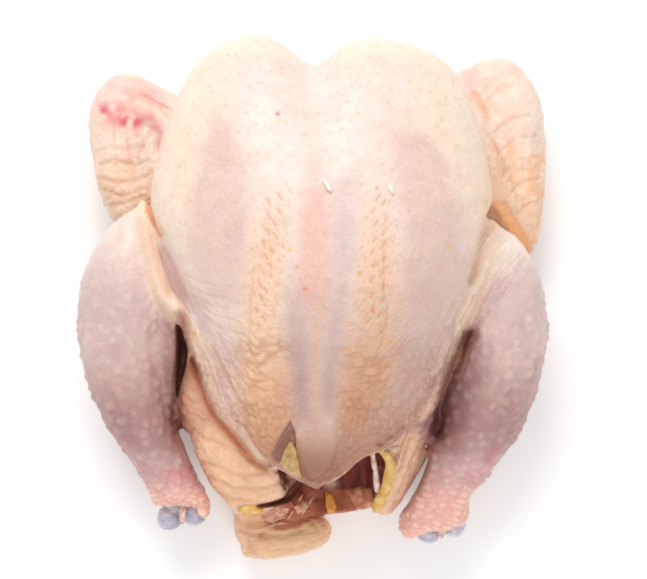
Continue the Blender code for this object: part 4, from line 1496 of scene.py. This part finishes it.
def at(px, py, z):
    """The place at this height that shows at this pixel, in millimetres of the drawing."""
    scale = MM_PER_PIXEL * (EYE_HEIGHT - z) / (EYE_HEIGHT - AIM_HEIGHT)
    return ((px - BIRD_PIXEL[0]) * scale, (BIRD_PIXEL[1] - py) * scale, z)


def on_skin(px, py, lift=0.0):
    """The place on the skin that shows at this pixel, raised by some millimetres."""
    x, y, z = at(px, py, AIM_HEIGHT)
    ray = Vector((x, y, z - EYE_HEIGHT)).normalized()
    spot, normal, _, _ = skin_bvh.ray_cast(Vector((0, 0, EYE_HEIGHT)), ray)
    return None if spot is None else np.array(spot) + lift * np.array(normal)


print("the camera sees the breast at", on_skin(313, 250).round(1), "mm")

# %% [markdown]
# ## A patch laid on the skin
# Fat and flesh often lie on the skin like a thin cushion. A grid of places inside an outline is
# dropped onto the skin and raised in the middle, with a second layer under it and walls between.

# %% A patch laid on the skin


def patch(outline, height, rim):
    """A closed body over an outline of pixels: as high as given in the middle, level at the rim."""
    corners = np.array(outline, float)
    low, high = np.floor(corners.min(axis=0)), np.ceil(corners.max(axis=0))
    columns, rows = (high - low + 1).astype(int)
    x, y = np.meshgrid(low[0] + np.arange(columns), low[1] + np.arange(rows))
    inside = np.zeros(x.shape, bool)
    away = np.full(x.shape, FAR)
    for (ax, ay), (bx, by) in zip(corners, np.roll(corners, -1, axis=0)):
        crosses = (ay > y) != (by > y)
        inside ^= crosses & (x < ax + (y - ay) * (bx - ax) / ((by - ay) or 1e-9))
        along_side = (x - ax) * (bx - ax) + (y - ay) * (by - ay)
        part = np.clip(along_side / ((bx - ax) ** 2 + (by - ay) ** 2), 0, 1)
        away = np.minimum(away, np.hypot(x - ax - part * (bx - ax), y - ay - part * (by - ay)))
    rise = height * np.sqrt(1 - (1 - np.clip(away / rim, 0, 1)) ** 2)
    index, points = {}, []
    for row, column in zip(*np.nonzero(inside)):
        spot = on_skin(x[row, column], y[row, column])
        if spot is not None:
            index[row, column] = len(points)
            points += [spot + (0, 0, rise[row, column]), spot - (0, 0, 1.6)]
    faces, sides = [], {}
    for row, column in index:
        ring = [(row, column), (row, column + 1), (row + 1, column + 1), (row + 1, column)]
        if all(cell in index for cell in ring):
            tops = [index[cell] for cell in ring]
            faces += [tops[::-1], [top + 1 for top in tops]]
            for a, b in zip(tops, tops[1:] + tops[:1]):
                sides.setdefault(frozenset((a, b)), []).append((a, b))
    faces += [[a, b, b + 1, a + 1] for (a, b), *others in sides.values() if not others]
    return np.array(points), faces


# %% [markdown]
# ## Soft lumps like clay
# Overlapping bodies are remeshed into one, smoothed and roughened a little, as one would press
# lumps of clay together. The same steps then make the piece ride on the bird.

# %% One piece from overlapping bodies


def clay(name, bodies, voxel_mm, rounds, bumps=(), material=None, node="chicken"):
    """One smooth piece from overlapping bodies. Bumps are pairs of a height and a size of noise."""
    points, faces, first = [], [], 0
    for body_points, body_faces in bodies:
        points.append(body_points)
        faces += [[i + first for i in face] for face in body_faces]
        first += len(body_points)
    piece = remeshed(mesh_object(name, np.concatenate(points), faces), voxel_mm * MM)
    smooth = piece.modifiers.new("Smooth", "SMOOTH")
    smooth.iterations = rounds
    piece = applied(piece)
    count = len(piece.data.vertices)
    spots, normals = np.empty(count * 3, np.float32), np.empty(count * 3, np.float32)
    piece.data.vertices.foreach_get("co", spots)
    piece.data.vertices.foreach_get("normal", normals)
    spots, normals = spots.reshape(-1, 3).astype(float) / MM, normals.reshape(-1, 3)
    for height, size in bumps:
        spots = spots + normals * (height * wander(size, 90, spots))[:, None]
    piece.data.vertices.foreach_set("co", ((spots + HOME) * MM).astype(np.float32).ravel())
    piece.data.update()
    piece.data.shade_smooth()
    piece.data.materials.clear()
    piece.data.materials.append(material)
    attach(piece, "root")
    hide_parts(node)
    print(name, len(piece.data.polygons), "faces")
    return piece


# %% [markdown]
# ## Colours for fat, flesh and cartilage
# Tissue is never one colour: fat has whiter and yellower lobes, and flesh has paler fibres. A
# noise as large as those lobes drifts between three hex colours, and a finer one gives the bump.
# A photograph could be laid on instead, but noise has no seam and looks right from all sides.

# %% A material for wet tissue with drifting colour


def tissue(name, codes, lump_mm, roughness, subsurface, bump_mm, coat=0.3):
    """Wet tissue whose colour drifts between three hex colours over lumps of this size."""
    made, shader, tree = wet_tissue(name, roughness, subsurface, (1.0, 0.6, 0.35), coat)
    coords = add(tree, "ShaderNodeTexCoord")
    lumps = add(
        tree, "ShaderNodeTexNoise", None,
        {"Vector": coords.outputs["Object"], "Scale": 1 / (lump_mm * MM), "Detail": 4.0, "Roughness": 0.6},
    )
    ramp = add(tree, "ShaderNodeValToRGB", None, {"Fac": lumps.outputs["Fac"]})
    ramp.color_ramp.elements[0].position, ramp.color_ramp.elements[1].position = 0.3, 0.7
    ramp.color_ramp.elements.new(0.5)
    for stop, code in zip(ramp.color_ramp.elements, codes):
        stop.color = (*linear(code), 1.0)
    tree.links.new(ramp.outputs["Color"], shader.inputs["Base Color"])
    small = add(
        tree, "ShaderNodeTexNoise", None,
        {"Vector": coords.outputs["Object"], "Scale": 1 / (0.35 * lump_mm * MM), "Detail": 3.0},
    )
    bump = add(
        tree, "ShaderNodeBump", None,
        {"Height": small.outputs["Fac"], "Strength": 0.8, "Distance": bump_mm * MM},
    )
    tree.links.new(bump.outputs["Normal"], shader.inputs["Normal"])
    return made


# %% [markdown]
# ## Cut leg bones, capped with wet joint cartilage
# The feet were cut off at the joint, so each leg ends in two round knuckles of cartilage. It is
# smooth, dense and wet, blue-white with grey where the bone shows through, so its roughness is
# low and its colour drifts slowly. The shaft runs up inside the drumstick.

# %% The cut ends of the leg bones
cartilage = tissue("wet_joint_cartilage", ("9a96a8", "bab6c4", "dfd8da"), 6.0, 0.14, 0.25, 0.05, 0.6)


def leg_bone(name, knee, hock, spread):
    """A shaft from near the knee to the hock, with a knuckle at each side of its end."""
    knee, hock, spread = np.array(knee, float), np.array(hock, float), np.array(spread, float)
    way = (hock - knee) / np.linalg.norm(hock - knee)
    start, neck = knee + 26 * way, hock - 15 * way
    bodies = [
        loft(
            [
                (*start, 0, 0),
                (*(start + 6 * way), 4.2, 4.2),
                (*(start * 0.4 + neck * 0.6), 3.6, 3.6),
                (*neck, 5, 4.6),
                (*(hock - 5 * way), 7.5, 6),
                (*(hock + way), 0, 0),
            ]
        )
    ]
    for side in (-1, 1):
        middle = hock + side * spread
        bodies.append(
            loft(
                [
                    (*(middle - 7 * way), 0, 0),
                    (*(middle - 3 * way), 5, 6.4),
                    (*(middle + 1 * way), 5.8, 7.2),
                    (*(middle + 4.5 * way), 4.2, 5.2),
                    (*(middle + 6 * way), 0, 0),
                ]
            )
        )
    return clay(name + "_cartilage", bodies, 0.5, 4, [(0.15, 3.0)], cartilage, name)


leg_bone("shank_bone_left", (-82, 20, 40), (-60.8, -99.4, 22), (5.7, 1.1, 0))
leg_bone("shank_bone_right", (85, 15, 40), (58.9, -105, 21.5), (5.8, 1.4, 0))

# %% [markdown]
# ## Raw chicken fat
# Fat is soft, greasy and slightly clear: pale straw under the membrane, golden at the vent and
# nearly orange beside the tail. Grease gives a broad soft highlight, so roughness is 0.26 to 0.28,
# and light goes deeper into it than into skin.

# %% Fat
yellow_fat = tissue("yellow_chicken_fat", ("a87f46", "c49b60", "dabb8a"), 4.0, 0.28, 0.3, 0.25)
golden_fat = tissue("golden_vent_fat", ("d39c48", "e9bb68", "f6d996"), 5.0, 0.26, 0.3, 0.15)
orange_fat = tissue("orange_chicken_fat", ("dd8a34", "eda24a", "f4bd6c"), 3.0, 0.28, 0.3, 0.2)
KEEL_FAT = [
    (288, 442), (284, 451), (279, 463), (285, 471), (294, 477), (303, 479), (301, 470), (299, 460),
    (297, 450), (293, 440),
]
clay("keel_fat", [patch(KEEL_FAT, 1.5, 6)], 0.45, 3, [(0.25, 3.0)], yellow_fat)
TAIL_FAT = [(238, 509), (246, 505), (257, 505), (265, 509), (262, 515), (250, 517), (240, 515)]
clay("tail_fat", [patch(TAIL_FAT, 2.2, 6)], 0.45, 3, [(0.3, 3.5)], golden_fat)
ORANGE_FAT = [(325, 490), (333, 493), (338, 506), (334, 514), (327, 513), (324, 502)]
clay("vent_orange_fat", [patch(ORANGE_FAT, 2.4, 5)], 0.45, 3, [(0.3, 2.5)], orange_fat)
# pixel across, pixel down, height and half width in millimetres
VENT_STRIP = [
    (374, 446, 38, 0.0), (380, 448, 39, 1.7), (387, 454, 39, 2.5), (391, 463, 38, 2.8), (390, 474, 36.5, 2.9),
    (387, 486, 34, 2.7), (381, 498, 31, 2.6), (376, 508, 27, 2.2), (373, 513, 25, 0.0),
]
strip = loft([(*at(px, py, z), wide, wide * 0.7, wide * 2.2) for px, py, z, wide in VENT_STRIP])
clay("vent_fat_strip", [strip], 0.5, 4, [(0.3, 5.0), (0.1, 2.0)], golden_fat)

# %% [markdown]
# ## Meat and membranes at the vent
# Cut meat is pink, wet and grainy, and the membranes that held the gut are thin wet sheets and
# threads, glossy and nearly white where they fold. They are small lofts and patches, remeshed
# finely so that their rims melt into the flesh.

# %% Meat and a membrane in the vent
pink_meat = tissue("raw_pink_meat", ("b5634c", "d28a6a", "e6b196"), 3.5, 0.22, 0.3, 0.3, 0.5)
wet_flesh = tissue("wet_pink_flesh", ("b9766a", "d69c84", "ecc8b0"), 3.0, 0.14, 0.4, 0.2, 0.7)
membrane = tissue("wet_membrane", ("cf9a8c", "e3c0b6", "f3e3dc"), 2.5, 0.14, 0.4, 0.15, 0.7)
MEAT_SLAB = [(345, 489), (358, 485), (373, 487), (376, 502), (366, 516), (358, 510), (350, 500)]
clay("vent_meat", [patch(MEAT_SLAB, 3.6, 7)], 0.5, 4, [(0.5, 4.0), (0.2, 1.5)], pink_meat)
VEIL = [
    (371, 444, 40, 0.0), (372, 450, 40, 1.2), (374, 464, 38, 1.3), (376, 478, 35, 1.3), (377, 489, 32, 1.2),
    (377, 494, 30, 0.0),
]
veil = loft([(*at(px, py, z), wide, wide, wide * 5) for px, py, z, wide in VEIL])
clay("vent_membrane", [veil], 0.5, 3, [(0.4, 3.0)], membrane)

# %% Membranes on the tail
STRANDS = [
    [(266, 522), (270, 514), (276, 508), (284, 505)],
    [(286, 522), (292, 512), (299, 500), (304, 492)],
    [(300, 519), (306, 508), (312, 498), (316, 491)],
    [(258, 528), (268, 527), (280, 523), (291, 524)],
]
strand_bodies = []
for line in STRANDS:
    spots = [on_skin(px, py, 0.25) for px, py in line]
    sizes = [0.0] + [0.4] * (len(spots) - 2) + [0.0]
    rings = [(*spot, size * 1.6, size) for spot, size in zip(spots, sizes)]
    strand_bodies.append(loft(rings, segments=16, steps=24))
strand_bodies.append(patch([(264, 514), (276, 507), (290, 508), (286, 518), (272, 524), (262, 521)], 1.0, 4))
strand_bodies.append(patch([(294, 506), (303, 499), (310, 503), (306, 512), (297, 515)], 0.9, 4))
clay("tail_membranes", strand_bodies, 0.28, 2, [(0.25, 2.0), (0.1, 1.0)], wet_flesh)

# %% [markdown]
# ## Tendons between the knuckles
# A white tendon still crosses each cut joint and lies in the groove between the two knuckles.

# %% Tendons between the knuckles
TENDONS = [
    [(-59.6, -93, 28.5), (-60.2, -97, 28.5), (-60.4, -101, 26.5), (-60.2, -104, 24)],
    [(58, -102, 28), (58.3, -105, 28), (58.7, -108, 26), (59, -110.5, 23.5)],
]
TENDON_SIZES = (0.0, 2.0, 1.7, 0.0)
tendon_bodies = []
for line in TENDONS:
    rings = [(*spot, size, size * 0.8) for spot, size in zip(line, TENDON_SIZES)]
    tendon_bodies.append(loft(rings, segments=24, steps=24))
clay("ankle_tendons", tendon_bodies, 0.4, 3, [(0.3, 2.0)], membrane)

# %% [markdown]
# ## Feather quills, dry horn
# Two broken quills stand out of the breast. A quill is a dry pale tube of horn, smooth and a
# little glossy, without the red that skin has.

# %% Two quill ends left in the breast
quill = tissue("feather_quill", ("e8dccb", "f3ecdf", "fbf7f0"), 2.0, 0.3, 0.2, 0.05)
QUILLS = [((323, 178), (331, 193)), ((389, 183), (392, 195))]
QUILL_SIZES = (0.0, 1.0, 0.85, 0.0)
quill_bodies = []
for foot, tip in QUILLS:
    low, high = on_skin(*foot, 0.3), on_skin(*tip, 1.3)
    spots = [low * (1 - part) + high * part for part in (0, 0.25, 0.8, 1)]
    rings = [(*spot, size, size) for spot, size in zip(spots, QUILL_SIZES)]
    quill_bodies.append(loft(rings, segments=16, steps=24))
clay("quill_ends", quill_bodies, 0.28, 1, (), quill)

# %% [markdown]
# ## The table and the light
# The bird lies on a smooth white painted table, lit so brightly in the photograph that it is
# nearly pure white: the table glows a little to give that. A soft light at the neck's side makes
# the breast bright, a weaker one at the tail keeps the rear open, and a white sky fills the rest.

# %% Table and lights
REACH = 3000
CORNERS = [(-REACH, -REACH, 0), (REACH, -REACH, 0), (REACH, REACH, 0), (-REACH, REACH, 0)]
floor = mesh_object("table", CORNERS, [[0, 1, 2, 3]])
white, shader, nodes = wet_tissue("white_table", 0.6, 0.0, (1, 1, 1))
shader.inputs["Base Color"].default_value = (0.93, 0.93, 0.93, 1.0)
shader.inputs["Emission Color"].default_value = (1, 1, 1, 1)
shader.inputs["Emission Strength"].default_value = 0.12
floor.data.materials.append(white)


def softbox(name, place_m, aim_m, size, power):
    """A large soft light at a place, turned to its aim. Places are in metres, power in watts."""
    light = bpy.data.lights.new(name, "AREA")
    light.shape = "RECTANGLE"
    light.size, light.size_y = size
    light.energy = power
    lamp = bpy.data.objects.new(name, light)
    lamp.location = place_m
    lamp.rotation_euler = (Vector(aim_m) - Vector(place_m)).to_track_quat("-Z", "Y").to_euler()
    bpy.context.scene.collection.objects.link(lamp)
    return lamp


softbox("key_softbox", (-0.15, 0.75, 0.75), (0, 0.02, 0.05), (0.5, 0.4), 5.0)
softbox("fill_softbox", (0.1, -0.75, 0.6), (0, -0.08, 0.02), (0.6, 0.5), 2.0)
world = bpy.data.worlds.new("studio")
world.use_nodes = True
world.node_tree.nodes["Background"].inputs["Color"].default_value = (1, 1, 1, 1)
world.node_tree.nodes["Background"].inputs["Strength"].default_value = 0.7
bpy.context.scene.world = world
